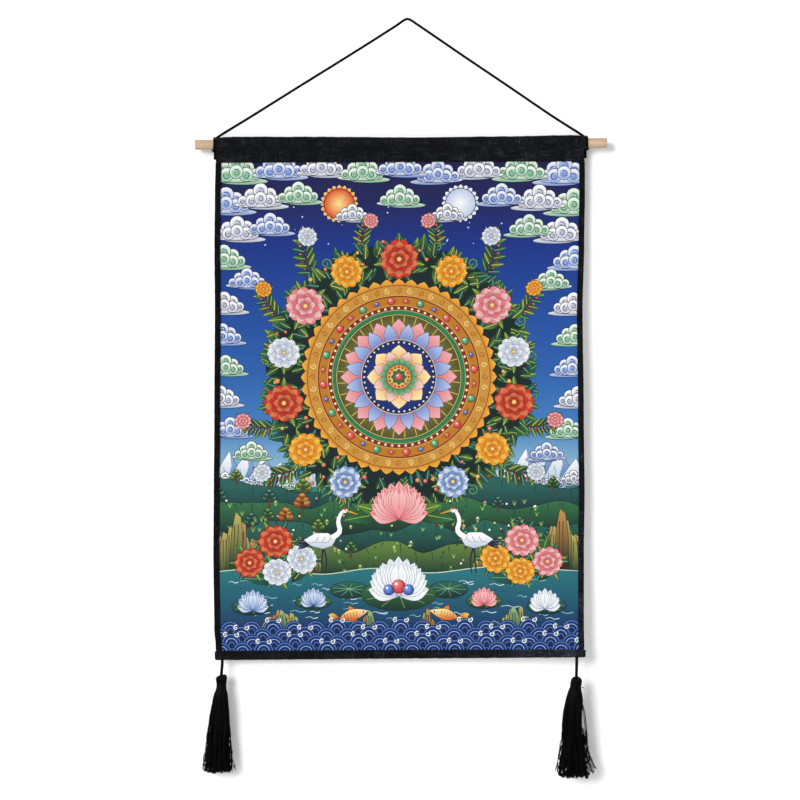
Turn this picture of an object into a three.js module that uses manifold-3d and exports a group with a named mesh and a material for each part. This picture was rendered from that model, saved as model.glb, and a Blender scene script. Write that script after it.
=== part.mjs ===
// A small hanging scroll: a printed canvas panel with a black linen heading, side bindings and bottom
// band, on a light wooden rod, with a cord to hang it by and two tassels.
// Millimetres, +Z up. The origin is the hang point, on the cord's axis at its topmost bend. The picture
// faces -Y, and +X is to the right of someone who looks at it.

import * as THREE from "three";
import { mergeVertices } from "three/addons/utils/BufferGeometryUtils.js";
import Module from "manifold-3d";

const wasm = await Module();
wasm.setup();

// Driving dimensions
const GAP = 0.3; // between neighbouring pieces
const CLOTH = 1.0; // thickness of the canvas and of the linen
const CLOTH_WIDTH = 450; // over both side bindings, as cut

const ROD = { diameter: 12, left: -259.8, right: 243.9, chamfer: 0.8, sides: 28 };
const ROD_LEVEL = -152.7; // the rod's axis under the hang point
const TILT = { rod: 0.0043, foot: 0.0058 }; // how far the right side hangs higher, for each mm of X

const HEADING_DROP = 22.2; // from the rod's axis to the heading's lower edge
const SEAM_DROP = 12.5; // from the rod's axis to the seam under the rod
const SLEEVE_EASE = { mean: 0.55, sway: 0.25, sways: 3 }; // between the rod and the linen round it

const BINDING_WIDTH = 5.7;
const BAND_DROP = 618.2; // from the rod's axis to the band's upper edge
const BAND_HEIGHT = { left: 11.5, right: 9.9 };
const BAND_BULGE = 2.9; // half the band's thickness at its fullest, as the curve's handle
const CANVAS_TUCK = { top: 8.0, bottom: 5.5 }; // how far the canvas runs into heading and band

const CORD_DIAMETER = 2.4;
const TASSEL_CORD_DIAMETER = 2.8;
const CORD_SIDES = 8;

// Steps along the cloth, shared by the pieces that lie on each other
const INNER_COLUMNS = 17;
const INNER_ROWS = 24;

// The cloth's two outer edges, as X, at distances below the rod's axis
const EDGES = [
  { down: 22, left: -234.2, right: 216.4 },
  { down: 60, left: -235.0, right: 216.5 },
  { down: 120, left: -235.6, right: 215.6 },
  { down: 205, left: -235.0, right: 213.4 },
  { down: 330, left: -235.7, right: 214.8 },
  { down: 430, left: -236.5, right: 215.8 },
  { down: 500, left: -236.9, right: 214.8 },
  { down: 590, left: -235.7, right: 214.6 },
  { down: 615, left: -233.8, right: 215.0 },
];

// How far the cloth hangs forward of the rod's axis: more towards its foot and its right side
const CURL = { left: 3, right: 10, power: 1.5 };
const RIPPLE = { height: 1.3, count: 1.6, start: 0.4, slant: 0.5 };
const EDGE_WAVE = { height: 1.5, length: 420, start: 130, from: 0.62, onset: 0.25 };

// Ends of the band past the bindings: how far out, and how full the section still is there
const BAND_ENDS = [
  { out: 1.7, fullness: 0.66 },
  { out: 1.0, fullness: 0.93 },
];

// The cord's way round a rod end, from its tail to where it leaves for the hang point. The first two
// columns are the distance out from the sleeve's end, and back and up are counted from the rod's axis.
const HITCH = [
  { left: 1.4, right: 1.6, back: 4.4, up: -17.6 },
  { left: 1.5, right: 1.6, back: 6.6, up: -11.5 },
  { left: 1.6, right: 1.7, back: 7.9, up: -4.0 },
  { left: 1.6, right: 1.9, back: 6.6, up: 4.0 },
  { left: 1.7, right: 2.4, back: 0.6, up: 7.7 },
  { left: 1.8, right: 2.9, back: -5.6, up: 5.3 },
  { left: 2.0, right: 3.3, back: -7.7, up: -0.8 },
  { left: 2.7, right: 3.7, back: -4.4, up: -6.4 },
  { left: 3.6, right: 4.2, back: 2.6, up: -7.3 },
  { left: 4.4, right: 4.7, back: 7.7, up: -2.6 },
  { left: 4.3, right: 4.6, back: 9.3, up: 2.6 },
  { left: 2.4, right: 2.8, back: 8.7, up: 6.2 },
  { left: -0.6, right: -0.4, back: 7.6, up: 8.9 },
];

// The two taut legs, from the rod up to the topmost bend, and where that bend starts on each side
const LEFT_LEG = [
  { x: -190.0, back: 5.6, z: -117.9 },
  { x: -132.1, back: 3.7, z: -81.9 },
  { x: -72.0, back: 1.9, z: -44.8 },
  { x: -14.7, back: 0.3, z: -8.7 },
];
const RIGHT_LEG = [
  { x: 178.0, back: 5.6, z: -118.7 },
  { x: 123.5, back: 3.7, z: -81.9 },
  { x: 68.0, back: 1.9, z: -44.7 },
  { x: 14.9, back: 0.3, z: -8.6 },
];
const TOP_BEND = { x: 3.1, z: -0.9 };
const LEG_STEPS = 44;
const HITCH_STEPS = 18;
const TASSEL_CORD_STEPS = 6;
const ROUTE_SAMPLES = 4000; // for measuring along the cord's route

// Tassels: `across` is where the cord leaves the band, counted from the outer edge, and the rows give
// the middle, counted from the cord, and the width at distances below the head's top.
const LEFT_TASSEL = {
  across: 7.6,
  cord: 17.6,
  lean: -1.2,
  length: 121,
  rows: [
    { drop: 0, middle: 0.0, width: 4.0 },
    { drop: 1.4, middle: 0.0, width: 10.0 },
    { drop: 4, middle: -0.2, width: 13.6 },
    { drop: 9, middle: -0.6, width: 12.6 },
    { drop: 16, middle: -0.4, width: 10.8 },
    { drop: 20, middle: -0.8, width: 13.8 },
    { drop: 28, middle: -2.0, width: 17.2 },
    { drop: 40, middle: -2.2, width: 21.2 },
    { drop: 58, middle: -2.3, width: 23.2 },
    { drop: 81, middle: -2.8, width: 27.0 },
    { drop: 101, middle: -4.6, width: 31.0 },
    { drop: 121, middle: -4.8, width: 36.0 },
  ],
};
const RIGHT_TASSEL = {
  across: 8.7,
  cord: 23.0,
  lean: -0.5,
  length: 125,
  rows: [
    { drop: 0, middle: 0.0, width: 4.0 },
    { drop: 1.4, middle: 0.0, width: 8.6 },
    { drop: 6, middle: -0.2, width: 13.2 },
    { drop: 10, middle: -0.5, width: 12.6 },
    { drop: 13, middle: -1.0, width: 11.6 },
    { drop: 19, middle: -2.2, width: 14.7 },
    { drop: 28, middle: -3.5, width: 20.2 },
    { drop: 43, middle: -4.2, width: 25.4 },
    { drop: 60, middle: -4.8, width: 27.0 },
    { drop: 78, middle: -4.6, width: 28.0 },
    { drop: 97, middle: -2.0, width: 32.0 },
    { drop: 125, middle: -2.4, width: 34.0 },
  ],
};
const TASSEL_DEPTH = { head: 0.92, foot: 0.56 }; // share of the width
const TASSEL_SIDES = 16;
const BACKING_DROP = 28; // the strands' roots are fused above this
const STRANDS = { count: 60, sides: 3, steps: 4, root: 0.5, tip: 1.0, spread: 0.93, ragged: 5, rooted: 4 };

const MATERIALS = {
  wood: new THREE.MeshStandardMaterial({ color: 0xd6b791, roughness: 0.55, metalness: 0 }),
  linen: new THREE.MeshStandardMaterial({ color: 0x1b1d22, roughness: 0.9, metalness: 0 }),
  canvas: new THREE.MeshStandardMaterial({ color: 0x3a6386, roughness: 0.8, metalness: 0 }),
  cord: new THREE.MeshStandardMaterial({ color: 0x0b0b0d, roughness: 0.6, metalness: 0 }),
  yarn: new THREE.MeshStandardMaterial({ color: 0x0c0c0f, roughness: 0.5, metalness: 0 }),
};

const scroll = new THREE.Group();

function addPiece(name, geometry, material) {
  const mesh = new THREE.Mesh(geometry, material);
  mesh.name = name;
  scroll.add(mesh);
}

// One closed body of a geometry: vertices merged by place, and faces with no area left out
function closed(geometry) {
  geometry.deleteAttribute("normal");
  geometry.deleteAttribute("uv");
  const merged = mergeVertices(geometry, 1e-5);
  const index = merged.index.array;
  const kept = [];
  for (let i = 0; i < index.length; i += 3) {
    const [a, b, c] = [index[i], index[i + 1], index[i + 2]];
    if (a !== b && b !== c && c !== a) kept.push(a, b, c);
  }
  merged.setIndex(kept);
  return merged;
}

// Moves each vertex of a geometry to the place that the function gives for it
function moved(geometry, placeOf) {
  const places = geometry.attributes.position;
  const vertex = new THREE.Vector3();
  for (let i = 0; i < places.count; i += 1) {
    vertex.fromBufferAttribute(places, i);
    const place = placeOf(vertex);
    places.setXYZ(i, place.x, place.y, place.z);
  }
  return closed(geometry);
}

// A value of a table's column at a distance along it, with smooth steps between the rows
function between(rows, along, column, distance) {
  const last = rows.length - 1;
  if (distance <= rows[0][along]) return rows[0][column];
  if (distance >= rows[last][along]) return rows[last][column];
  const next = rows.findIndex((row) => row[along] > distance);
  const [above, below] = [rows[next - 1], rows[next]];
  const share = THREE.MathUtils.smoothstep(distance, above[along], below[along]);
  return THREE.MathUtils.lerp(above[column], below[column], share);
}

// The same with straight steps
function straightBetween(rows, along, column, distance) {
  const next = Math.max(1, rows.findIndex((row) => row[along] >= distance));
  const [above, below] = [rows[next - 1], rows[next]];
  const share = (distance - above[along]) / (below[along] - above[along]);
  return THREE.MathUtils.lerp(above[column], below[column], share);
}

// The cloth's surface

function fallAt(down) {
  return THREE.MathUtils.clamp((down - HEADING_DROP) / (BAND_DROP - HEADING_DROP), 0, 1);
}

function tiltAt(down) {
  return THREE.MathUtils.lerp(TILT.rod, TILT.foot, fallAt(down));
}

function forwardAt(share, down) {
  const fall = fallAt(down);
  const side = THREE.MathUtils.smoothstep(share, 0, 1);
  const curl = THREE.MathUtils.lerp(CURL.left, CURL.right, side) * fall ** CURL.power;
  const turns = RIPPLE.count * share + RIPPLE.start + RIPPLE.slant * fall;
  const ripple = RIPPLE.height * fall * Math.sin(2 * Math.PI * turns);
  const nearEdge = THREE.MathUtils.smoothstep(Math.abs(2 * share - 1), EDGE_WAVE.from, 1);
  const wave = Math.sin((2 * Math.PI * (down - EDGE_WAVE.start)) / EDGE_WAVE.length);
  const edge = EDGE_WAVE.height * nearEdge * wave * Math.min(1, fall / EDGE_WAVE.onset);
  return curl + ripple + edge;
}

// A point of the hanging cloth: `across` is counted from the left outer edge, `down` from the rod's
// axis, and `back` from the middle of the cloth's thickness.
function clothPoint(across, down, back) {
  const share = across / CLOTH_WIDTH;
  const left = between(EDGES, "down", "left", down);
  const right = between(EDGES, "down", "right", down);
  const x = THREE.MathUtils.lerp(left, right, share);
  const z = ROD_LEVEL - down + tiltAt(down) * x;
  return new THREE.Vector3(x, back - forwardAt(share, down), z);
}

// Even steps from one value to another, with both ends
function steps(from, to, count) {
  return Array.from({ length: count + 1 }, (_, i) => from + ((to - from) * i) / count);
}

const innerColumns = steps(BINDING_WIDTH, CLOTH_WIDTH - BINDING_WIDTH, INNER_COLUMNS);
const innerRows = steps(HEADING_DROP, BAND_DROP, INNER_ROWS);
const lipInside = CLOTH / 2 + GAP; // from the cloth's middle to the linen on it
const lipOutside = lipInside + CLOTH;

// Rod

function rodGeometry() {
  const radius = ROD.diameter / 2;
  const length = ROD.right - ROD.left;
  const profile = [
    new THREE.Vector2(0, 0),
    new THREE.Vector2(radius - ROD.chamfer, 0),
    new THREE.Vector2(radius, ROD.chamfer),
    new THREE.Vector2(radius, length - ROD.chamfer),
    new THREE.Vector2(radius - ROD.chamfer, length),
    new THREE.Vector2(0, length),
  ];
  const turned = new THREE.LatheGeometry(profile, ROD.sides);
  return moved(turned, (v) => {
    const x = ROD.left + v.y;
    return new THREE.Vector3(x, -v.x, ROD_LEVEL + TILT.rod * x + v.z);
  });
}

// Heading: linen folded over the rod, its two lips on the canvas

function headingOutline() {
  const inner = ROD.diameter / 2 + SLEEVE_EASE.mean;
  const outer = inner + CLOTH;
  const handle = SEAM_DROP * 0.45;
  const outline = new THREE.Shape();
  outline.moveTo(-lipOutside, -HEADING_DROP);
  outline.lineTo(-lipOutside, -SEAM_DROP - CLOTH);
  outline.bezierCurveTo(-lipOutside, -SEAM_DROP + handle, -outer, -handle, -outer, 0);
  outline.absarc(0, 0, outer, Math.PI, 0, true);
  outline.bezierCurveTo(outer, -handle, lipOutside, -SEAM_DROP + handle, lipOutside, -SEAM_DROP - CLOTH);
  outline.lineTo(lipOutside, -HEADING_DROP);
  outline.lineTo(lipInside, -HEADING_DROP);
  outline.lineTo(lipInside, -SEAM_DROP);
  outline.bezierCurveTo(lipInside, -SEAM_DROP + handle, inner, -handle, inner, 0);
  outline.absarc(0, 0, inner, 0, Math.PI, false);
  outline.bezierCurveTo(-inner, -handle, -lipInside, -SEAM_DROP + handle, -lipInside, -SEAM_DROP);
  outline.lineTo(-lipInside, -HEADING_DROP);
  return outline;
}

function headingGeometry() {
  const columns = [0, ...innerColumns, CLOTH_WIDTH];
  const cells = columns.length - 1;
  const folded = new THREE.ExtrudeGeometry(headingOutline(), {
    depth: 1,
    steps: cells,
    curveSegments: 7,
    bevelEnabled: false,
  });
  return moved(folded, (v) => {
    const across = columns[Math.round(v.z * cells)];
    const share = across / CLOTH_WIDTH;
    const sway = SLEEVE_EASE.sway * Math.sin(2 * Math.PI * SLEEVE_EASE.sways * share);
    const rise = v.y > 0 ? v.y * (1 + sway / ROD.diameter) : v.y;
    return clothPoint(across, -rise, v.x);
  });
}

// Canvas panel

function panelGeometry() {
  const edge = CLOTH + GAP;
  const columns = [edge, ...innerColumns, CLOTH_WIDTH - edge];
  const rows = [HEADING_DROP - CANVAS_TUCK.top, ...innerRows, BAND_DROP + CANVAS_TUCK.bottom];
  const across = columns.length - 1;
  const down = rows.length - 1;
  const sheet = new THREE.BoxGeometry(1, CLOTH, 1, across, 1, down);
  return moved(sheet, (v) => {
    const column = columns[Math.round((v.x + 0.5) * across)];
    const row = rows[Math.round((0.5 - v.z) * down)];
    return clothPoint(column, row, v.y);
  });
}

// Side bindings: a strip folded round the canvas's edge

function bindingOutline(side) {
  const placed = (inwards, back) => {
    const across = side === "left" ? inwards : CLOTH_WIDTH - inwards;
    return new THREE.Vector2(across, back);
  };
  const fold = steps(-90, -270, 6).map((angle) => {
    const turn = THREE.MathUtils.degToRad(angle);
    return placed(lipOutside + lipOutside * Math.cos(turn), lipOutside * Math.sin(turn));
  });
  return new THREE.Shape([
    placed(BINDING_WIDTH, -lipInside),
    placed(BINDING_WIDTH, -lipOutside),
    ...fold,
    placed(BINDING_WIDTH, lipOutside),
    placed(BINDING_WIDTH, lipInside),
    placed(CLOTH, lipInside),
    placed(CLOTH, -lipInside),
  ]);
}

function bindingGeometry(side) {
  const rows = [HEADING_DROP + GAP, ...innerRows.slice(1, -1), BAND_DROP - GAP];
  const cells = rows.length - 1;
  const strip = new THREE.ExtrudeGeometry(bindingOutline(side), {
    depth: 1,
    steps: cells,
    bevelEnabled: false,
  });
  return moved(strip, (v) => clothPoint(v.x, rows[cells - Math.round(v.z * cells)], v.y));
}

// Bottom band: linen folded round the canvas's lower edge, as (back, share of the height)

function bandOutline() {
  const inside = BAND_BULGE - CLOTH;
  const floor = CLOTH / BAND_HEIGHT.left;
  const full = 0.7;
  const outline = new THREE.Shape();
  outline.moveTo(-lipOutside, 1);
  outline.bezierCurveTo(-BAND_BULGE, full, -BAND_BULGE, 0, 0, 0);
  outline.bezierCurveTo(BAND_BULGE, 0, BAND_BULGE, full, lipOutside, 1);
  outline.lineTo(lipInside, 1);
  outline.bezierCurveTo(inside, full, inside, floor, 0, floor);
  outline.bezierCurveTo(-inside, floor, -inside, full, -lipInside, 1);
  return outline;
}

function bandGeometry() {
  const middle = 0.5;
  const leftEnd = BAND_ENDS.map(({ out, fullness }) => ({ across: -out, fullness }));
  const whole = [0, ...innerColumns, CLOTH_WIDTH].map((across) => ({ across, fullness: 1 }));
  const rightEnd = BAND_ENDS.map(({ out, fullness }) => ({ across: CLOTH_WIDTH + out, fullness }));
  const columns = [...leftEnd, ...whole, ...rightEnd.reverse()];
  const cells = columns.length - 1;
  const folded = new THREE.ExtrudeGeometry(bandOutline(), {
    depth: 1,
    steps: cells,
    curveSegments: 6,
    bevelEnabled: false,
  });
  return moved(folded, (v) => {
    const column = columns[Math.round(v.z * cells)];
    const height = THREE.MathUtils.lerp(BAND_HEIGHT.left, BAND_HEIGHT.right, column.across / CLOTH_WIDTH);
    const rise = middle + (v.y - middle) * column.fullness;
    return clothPoint(column.across, BAND_DROP + height * (1 - rise), v.x * column.fullness);
  });
}

// Cords

function ring(radius, sides) {
  return new THREE.Shape(
    steps(0, 2 * Math.PI, sides)
      .slice(0, -1)
      .map((angle) => new THREE.Vector2(radius * Math.cos(angle), radius * Math.sin(angle))),
  );
}

// A stretch of a longer curve, between two distances along it
class Stretch extends THREE.Curve {
  constructor(whole, from, to) {
    super();
    this.whole = whole;
    this.from = from / whole.getLength();
    this.to = to / whole.getLength();
  }

  getPoint(share, target = new THREE.Vector3()) {
    return this.whole.getPointAt(THREE.MathUtils.lerp(this.from, this.to, share), target);
  }
}

function tubeGeometry(curve, diameter, count) {
  return closed(
    new THREE.ExtrudeGeometry(ring(diameter / 2, CORD_SIDES), {
      steps: count,
      bevelEnabled: false,
      extrudePath: curve,
    }),
  );
}

function hitchPoints(side) {
  const outwards = side === "left" ? -1 : 1;
  const sleeveEnd = EDGES[0][side];
  return HITCH.map((row) => {
    const x = sleeveEnd + outwards * row[side];
    return new THREE.Vector3(x, row.back, ROD_LEVEL + TILT.rod * x + row.up);
  });
}

function legPoints(rows) {
  return rows.map((row) => new THREE.Vector3(row.x, row.back, row.z));
}

function hangerRoute() {
  const bend = [-TOP_BEND.x, TOP_BEND.x].map((x) => new THREE.Vector3(x, 0, TOP_BEND.z));
  return new THREE.CatmullRomCurve3([
    ...hitchPoints("left"),
    ...legPoints(LEFT_LEG),
    bend[0],
    new THREE.Vector3(0, 0, 0),
    bend[1],
    ...legPoints(RIGHT_LEG).reverse(),
    ...hitchPoints("right").reverse(),
  ]);
}

// How far along the route its nearest point to a given point is
function distanceTo(route, point) {
  let best = { gap: Infinity, along: 0 };
  for (let i = 0; i <= ROUTE_SAMPLES; i += 1) {
    const share = i / ROUTE_SAMPLES;
    const gap = route.getPointAt(share).distanceTo(point);
    if (gap < best.gap) best = { gap, along: share * route.getLength() };
  }
  return best.along;
}

function addHanger() {
  const route = hangerRoute();
  route.arcLengthDivisions = ROUTE_SAMPLES;
  const leave = { left: hitchPoints("left").at(-1), right: hitchPoints("right").at(-1) };
  const leftCut = distanceTo(route, leave.left);
  const rightCut = distanceTo(route, leave.right);
  const legs = new Stretch(route, leftCut + GAP / 2, rightCut - GAP / 2);
  const leftHitch = new Stretch(route, 0, leftCut - GAP / 2);
  const rightHitch = new Stretch(route, rightCut + GAP / 2, route.getLength());
  addPiece("hanger_cord", tubeGeometry(legs, CORD_DIAMETER, LEG_STEPS), MATERIALS.cord);
  addPiece("cord_hitch_left", tubeGeometry(leftHitch, CORD_DIAMETER, HITCH_STEPS), MATERIALS.cord);
  addPiece("cord_hitch_right", tubeGeometry(rightHitch, CORD_DIAMETER, HITCH_STEPS), MATERIALS.cord);
}

// Tassels

function asManifold(geometry) {
  return new wasm.Manifold(
    new wasm.Mesh({
      numProp: 3,
      vertProperties: new Float32Array(geometry.attributes.position.array),
      triVerts: new Uint32Array(geometry.index.array),
    }),
  );
}

function fromManifold(solid) {
  const mesh = solid.getMesh();
  const geometry = new THREE.BufferGeometry();
  geometry.setAttribute("position", new THREE.BufferAttribute(mesh.vertProperties, mesh.numProp));
  geometry.setIndex(new THREE.BufferAttribute(mesh.triVerts, 1));
  return geometry;
}

// A point of a tassel: `side` and `back` run from -1 to 1 over its width and depth
function tasselPoint(tassel, head, side, back, drop) {
  const middle = straightBetween(tassel.rows, "drop", "middle", drop);
  const width = straightBetween(tassel.rows, "drop", "width", drop);
  const share = THREE.MathUtils.lerp(TASSEL_DEPTH.head, TASSEL_DEPTH.foot, drop / tassel.length);
  const x = head.x + middle + (side * width) / 2;
  return new THREE.Vector3(x, head.y + (back * share * width) / 2, head.z - drop);
}

function backingGeometry(tassel, head) {
  const rows = tassel.rows.filter((row) => row.drop <= BACKING_DROP);
  const profile = [
    new THREE.Vector2(0, 0),
    ...rows.map((row) => new THREE.Vector2(1, -row.drop)),
    new THREE.Vector2(0, -BACKING_DROP),
  ];
  const turned = new THREE.LatheGeometry(profile.reverse(), TASSEL_SIDES);
  return moved(turned, (v) => tasselPoint(tassel, head, v.x, -v.z, -v.y));
}

function strandGeometry(tassel, head, number) {
  const golden = Math.PI * (3 - Math.sqrt(5));
  const reach = STRANDS.spread * Math.sqrt((number + 0.5) / STRANDS.count);
  const side = reach * Math.cos(number * golden);
  const back = reach * Math.sin(number * golden);
  const rootDrop = BACKING_DROP - STRANDS.rooted;
  const tipDrop = tassel.length - STRANDS.ragged * (0.5 + 0.5 * Math.sin(number * number));
  const prism = new THREE.CylinderGeometry(STRANDS.root, STRANDS.tip, 1, STRANDS.sides, STRANDS.steps);
  return moved(prism, (v) => {
    const drop = THREE.MathUtils.lerp(rootDrop, tipDrop, 0.5 - v.y);
    const middle = tasselPoint(tassel, head, side, back, drop);
    return new THREE.Vector3(middle.x + v.x, middle.y - v.z, middle.z);
  });
}

function tasselGeometry(tassel, head) {
  let solid = asManifold(backingGeometry(tassel, head));
  for (let number = 0; number < STRANDS.count; number += 1) {
    solid = solid.add(asManifold(strandGeometry(tassel, head, number)));
  }
  return fromManifold(solid);
}

function addTassel(side, tassel) {
  const across = side === "left" ? tassel.across : CLOTH_WIDTH - tassel.across;
  const height = THREE.MathUtils.lerp(BAND_HEIGHT.left, BAND_HEIGHT.right, across / CLOTH_WIDTH);
  const exit = clothPoint(across, BAND_DROP + height + GAP, 0);
  const head = new THREE.Vector3(exit.x + tassel.lean, exit.y, exit.z - tassel.cord - GAP);
  const end = new THREE.Vector3(head.x, head.y, head.z + GAP);
  const straight = new THREE.Vector3(0, 0, (exit.z - end.z) / 4);
  const route = new THREE.CubicBezierCurve3(
    exit,
    exit.clone().sub(straight),
    end.clone().add(straight),
    end,
  );
  const tube = tubeGeometry(route, TASSEL_CORD_DIAMETER, TASSEL_CORD_STEPS);
  addPiece(`tassel_cord_${side}`, tube, MATERIALS.cord);
  addPiece(`tassel_${side}`, tasselGeometry(tassel, head), MATERIALS.yarn);
}

addPiece("rod", rodGeometry(), MATERIALS.wood);
addPiece("heading_sleeve", headingGeometry(), MATERIALS.linen);
addPiece("print_panel", panelGeometry(), MATERIALS.canvas);
addPiece("binding_left", bindingGeometry("left"), MATERIALS.linen);
addPiece("binding_right", bindingGeometry("right"), MATERIALS.linen);
addPiece("bottom_band", bandGeometry(), MATERIALS.linen);
addHanger();
addTassel("left", LEFT_TASSEL);
addTassel("right", RIGHT_TASSEL);

export default scroll;
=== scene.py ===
"""A small hanging scroll on a wooden rod: its looks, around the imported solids.

Sizes are in millimetres, as on the solids, and become metres where a mesh is made. The cloth's own
coordinates are `across` from its left outer edge, `down` from the rod's axis, and `back` from the middle
of its thickness.
"""

import math
import random

import bpy
import numpy as np
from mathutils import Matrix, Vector, noise
from mathutils.bvhtree import BVHTree
from mathutils.geometry import delaunay_2d_cdt


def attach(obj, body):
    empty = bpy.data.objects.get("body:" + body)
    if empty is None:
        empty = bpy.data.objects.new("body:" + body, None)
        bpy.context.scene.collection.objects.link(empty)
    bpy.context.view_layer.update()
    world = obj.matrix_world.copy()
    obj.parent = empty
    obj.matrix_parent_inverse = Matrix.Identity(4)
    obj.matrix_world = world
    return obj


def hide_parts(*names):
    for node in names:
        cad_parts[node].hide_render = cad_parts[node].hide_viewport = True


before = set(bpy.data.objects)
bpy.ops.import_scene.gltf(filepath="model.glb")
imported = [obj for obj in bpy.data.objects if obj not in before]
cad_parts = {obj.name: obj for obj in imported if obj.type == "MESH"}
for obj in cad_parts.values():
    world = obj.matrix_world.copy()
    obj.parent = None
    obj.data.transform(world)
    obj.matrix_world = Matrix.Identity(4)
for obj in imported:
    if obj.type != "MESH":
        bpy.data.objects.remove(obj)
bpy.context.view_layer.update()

MM = 0.001
BODY = "root"

# The cloth, as on the solids
CLOTH_WIDTH = 450.0
CLOTH = 1.0
GAP = 0.3
ROD_RADIUS = 6.0
ROD_LEFT = -259.8
ROD_RIGHT = 243.9
ROD_LEVEL = -152.7
ROD_TILT = 0.0043
FOOT_TILT = 0.0058
HEADING_DROP = 22.2
SEAM_DROP = 12.5
SLEEVE_EASE = 0.55
SLEEVE_SWAY = 0.25
SLEEVE_SWAYS = 3
BINDING_WIDTH = 6.5
BAND_DROP = 618.2
BAND_LEFT = 11.5
BAND_RIGHT = 9.9
BAND_BULGE = 2.9
BAND_OUT = 1.7
LIP_INSIDE = CLOTH / 2 + GAP
LIP_OUTSIDE = LIP_INSIDE + CLOTH

# The cloth's outer edges: distance below the rod's axis, X of the left one, X of the right one
EDGES = np.array(
    [
        *((22, -234.2, 216.4), (60, -235.0, 216.5), (120, -235.6, 215.6), (205, -235.0, 213.4)),
        *((330, -235.7, 214.8), (430, -236.5, 215.8), (500, -236.9, 214.8), (590, -235.7, 214.6)),
        (615, -233.8, 215.0),
    ]
)
CURL_LEFT, CURL_RIGHT, CURL_POWER = 3.0, 10.0, 1.5
RIPPLE, RIPPLE_COUNT, RIPPLE_START, RIPPLE_SLANT = 1.3, 1.6, 0.4, 0.5
WAVE, WAVE_LENGTH, WAVE_START, WAVE_FROM, WAVE_ONSET = 1.5, 420.0, 130.0, 0.62, 0.25


def eased(value, low, high):
    """The smooth step from 0 at low to 1 at high."""
    share = np.clip((np.asarray(value, float) - low) / (high - low), 0, 1)
    return share * share * (3 - 2 * share)


def between(table, column, distance):
    """A table's column at a distance along its first one, with smooth steps between the rows."""
    distance = np.clip(np.asarray(distance, float), table[0, 0], table[-1, 0])
    row = np.clip(np.searchsorted(table[:, 0], distance, side="right") - 1, 0, len(table) - 2)
    share = eased((distance - table[row, 0]) / (table[row + 1, 0] - table[row, 0]), 0, 1)
    return table[row, column] + (table[row + 1, column] - table[row, column]) * share


def cloth_points(across, down, back):
    """Places of points on the hanging cloth, as an array of rows x, y, z."""
    across, down, back = np.broadcast_arrays(*(np.asarray(v, float) for v in (across, down, back)))
    share = across / CLOTH_WIDTH
    fall = np.clip((down - HEADING_DROP) / (BAND_DROP - HEADING_DROP), 0, 1)
    left, right = between(EDGES, 1, down), between(EDGES, 2, down)
    curl = (CURL_LEFT + (CURL_RIGHT - CURL_LEFT) * eased(share, 0, 1)) * fall**CURL_POWER
    turns = RIPPLE_COUNT * share + RIPPLE_START + RIPPLE_SLANT * fall
    ripple = RIPPLE * fall * np.sin(2 * np.pi * turns)
    near_edge = eased(np.abs(2 * share - 1), WAVE_FROM, 1)
    wave = np.sin(2 * np.pi * (down - WAVE_START) / WAVE_LENGTH)
    edge = WAVE * near_edge * wave * np.minimum(1, fall / WAVE_ONSET)
    x = left + (right - left) * share
    z = ROD_LEVEL - down + (ROD_TILT + (FOOT_TILT - ROD_TILT) * fall) * x
    return np.stack([x, back - curl - ripple - edge, z], axis=-1)


def placed(name, data):
    """A new object in the scene."""
    made = bpy.data.objects.new(name, data)
    bpy.context.collection.objects.link(made)
    return made


# Camera

PIXEL = 1.2228
HANG_PIXEL = (407.5, 19.0)
FRAME_PIXELS = 800
CAMERA_AWAY = 3.8
CAMERA_REACH = 50
SENSOR = 36.0
middle_x = (FRAME_PIXELS / 2 - HANG_PIXEL[0]) * PIXEL * MM
middle_z = -(FRAME_PIXELS / 2 - HANG_PIXEL[1]) * PIXEL * MM
lens = bpy.data.cameras.new("camera")
lens.sensor_width = SENSOR
lens.lens = SENSOR * CAMERA_AWAY / (FRAME_PIXELS * PIXEL * MM)
lens.clip_end = CAMERA_REACH
camera = placed("camera", lens)
camera.location = (middle_x, -CAMERA_AWAY, middle_z)
camera.rotation_euler = (math.radians(90), 0, 0)
bpy.context.scene.camera = camera


# Meshes


def add_mesh(name, points, faces, slot, *nodes):
    """A mesh piece of points in millimetres, which rides on the scroll and stands for some nodes."""
    mesh = bpy.data.meshes.new(name)
    mesh.from_pydata((np.asarray(points) * MM).tolist(), [], faces)
    mesh.polygons.foreach_set("use_smooth", [True] * len(mesh.polygons))
    mesh.materials.append(MATERIALS[slot])
    mesh.validate()
    piece = placed(name, mesh)
    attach(piece, BODY)
    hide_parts(*nodes)
    return piece


def bodies(sweeps):
    """Points and faces of closed bodies, each an array of rings, points, 3 that it is swept through."""
    points, faces, start = [], [], 0
    for rings in sweeps:
        count, sides = rings.shape[:2]
        ring, spot = np.meshgrid(np.arange(count - 1), np.arange(sides), indexing="ij")
        a = start + ring * sides + spot
        b = start + ring * sides + (spot + 1) % sides
        last = start + (count - 1) * sides
        points.append(rings.reshape(-1, 3))
        faces += np.stack([a, b, b + sides, a + sides], axis=-1).reshape(-1, 4).tolist()
        faces += [list(range(start, start + sides))[::-1], list(range(last, last + sides))]
        start += count * sides
    return np.concatenate(points), faces


def unit(vectors):
    return vectors / np.maximum(np.linalg.norm(vectors, axis=1), 1e-6)[:, None]


def steps_of(path):
    return np.linalg.norm(np.diff(path, axis=0), axis=1)


def length_of(path):
    return float(steps_of(path).sum())


def gone_of(path):
    """How far along the path each of its points lies."""
    return np.concatenate([[0], np.cumsum(steps_of(path))])


def circle(angles, rx, ry):
    return np.stack([rx * np.cos(angles), ry * np.sin(angles)], axis=1)


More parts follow.
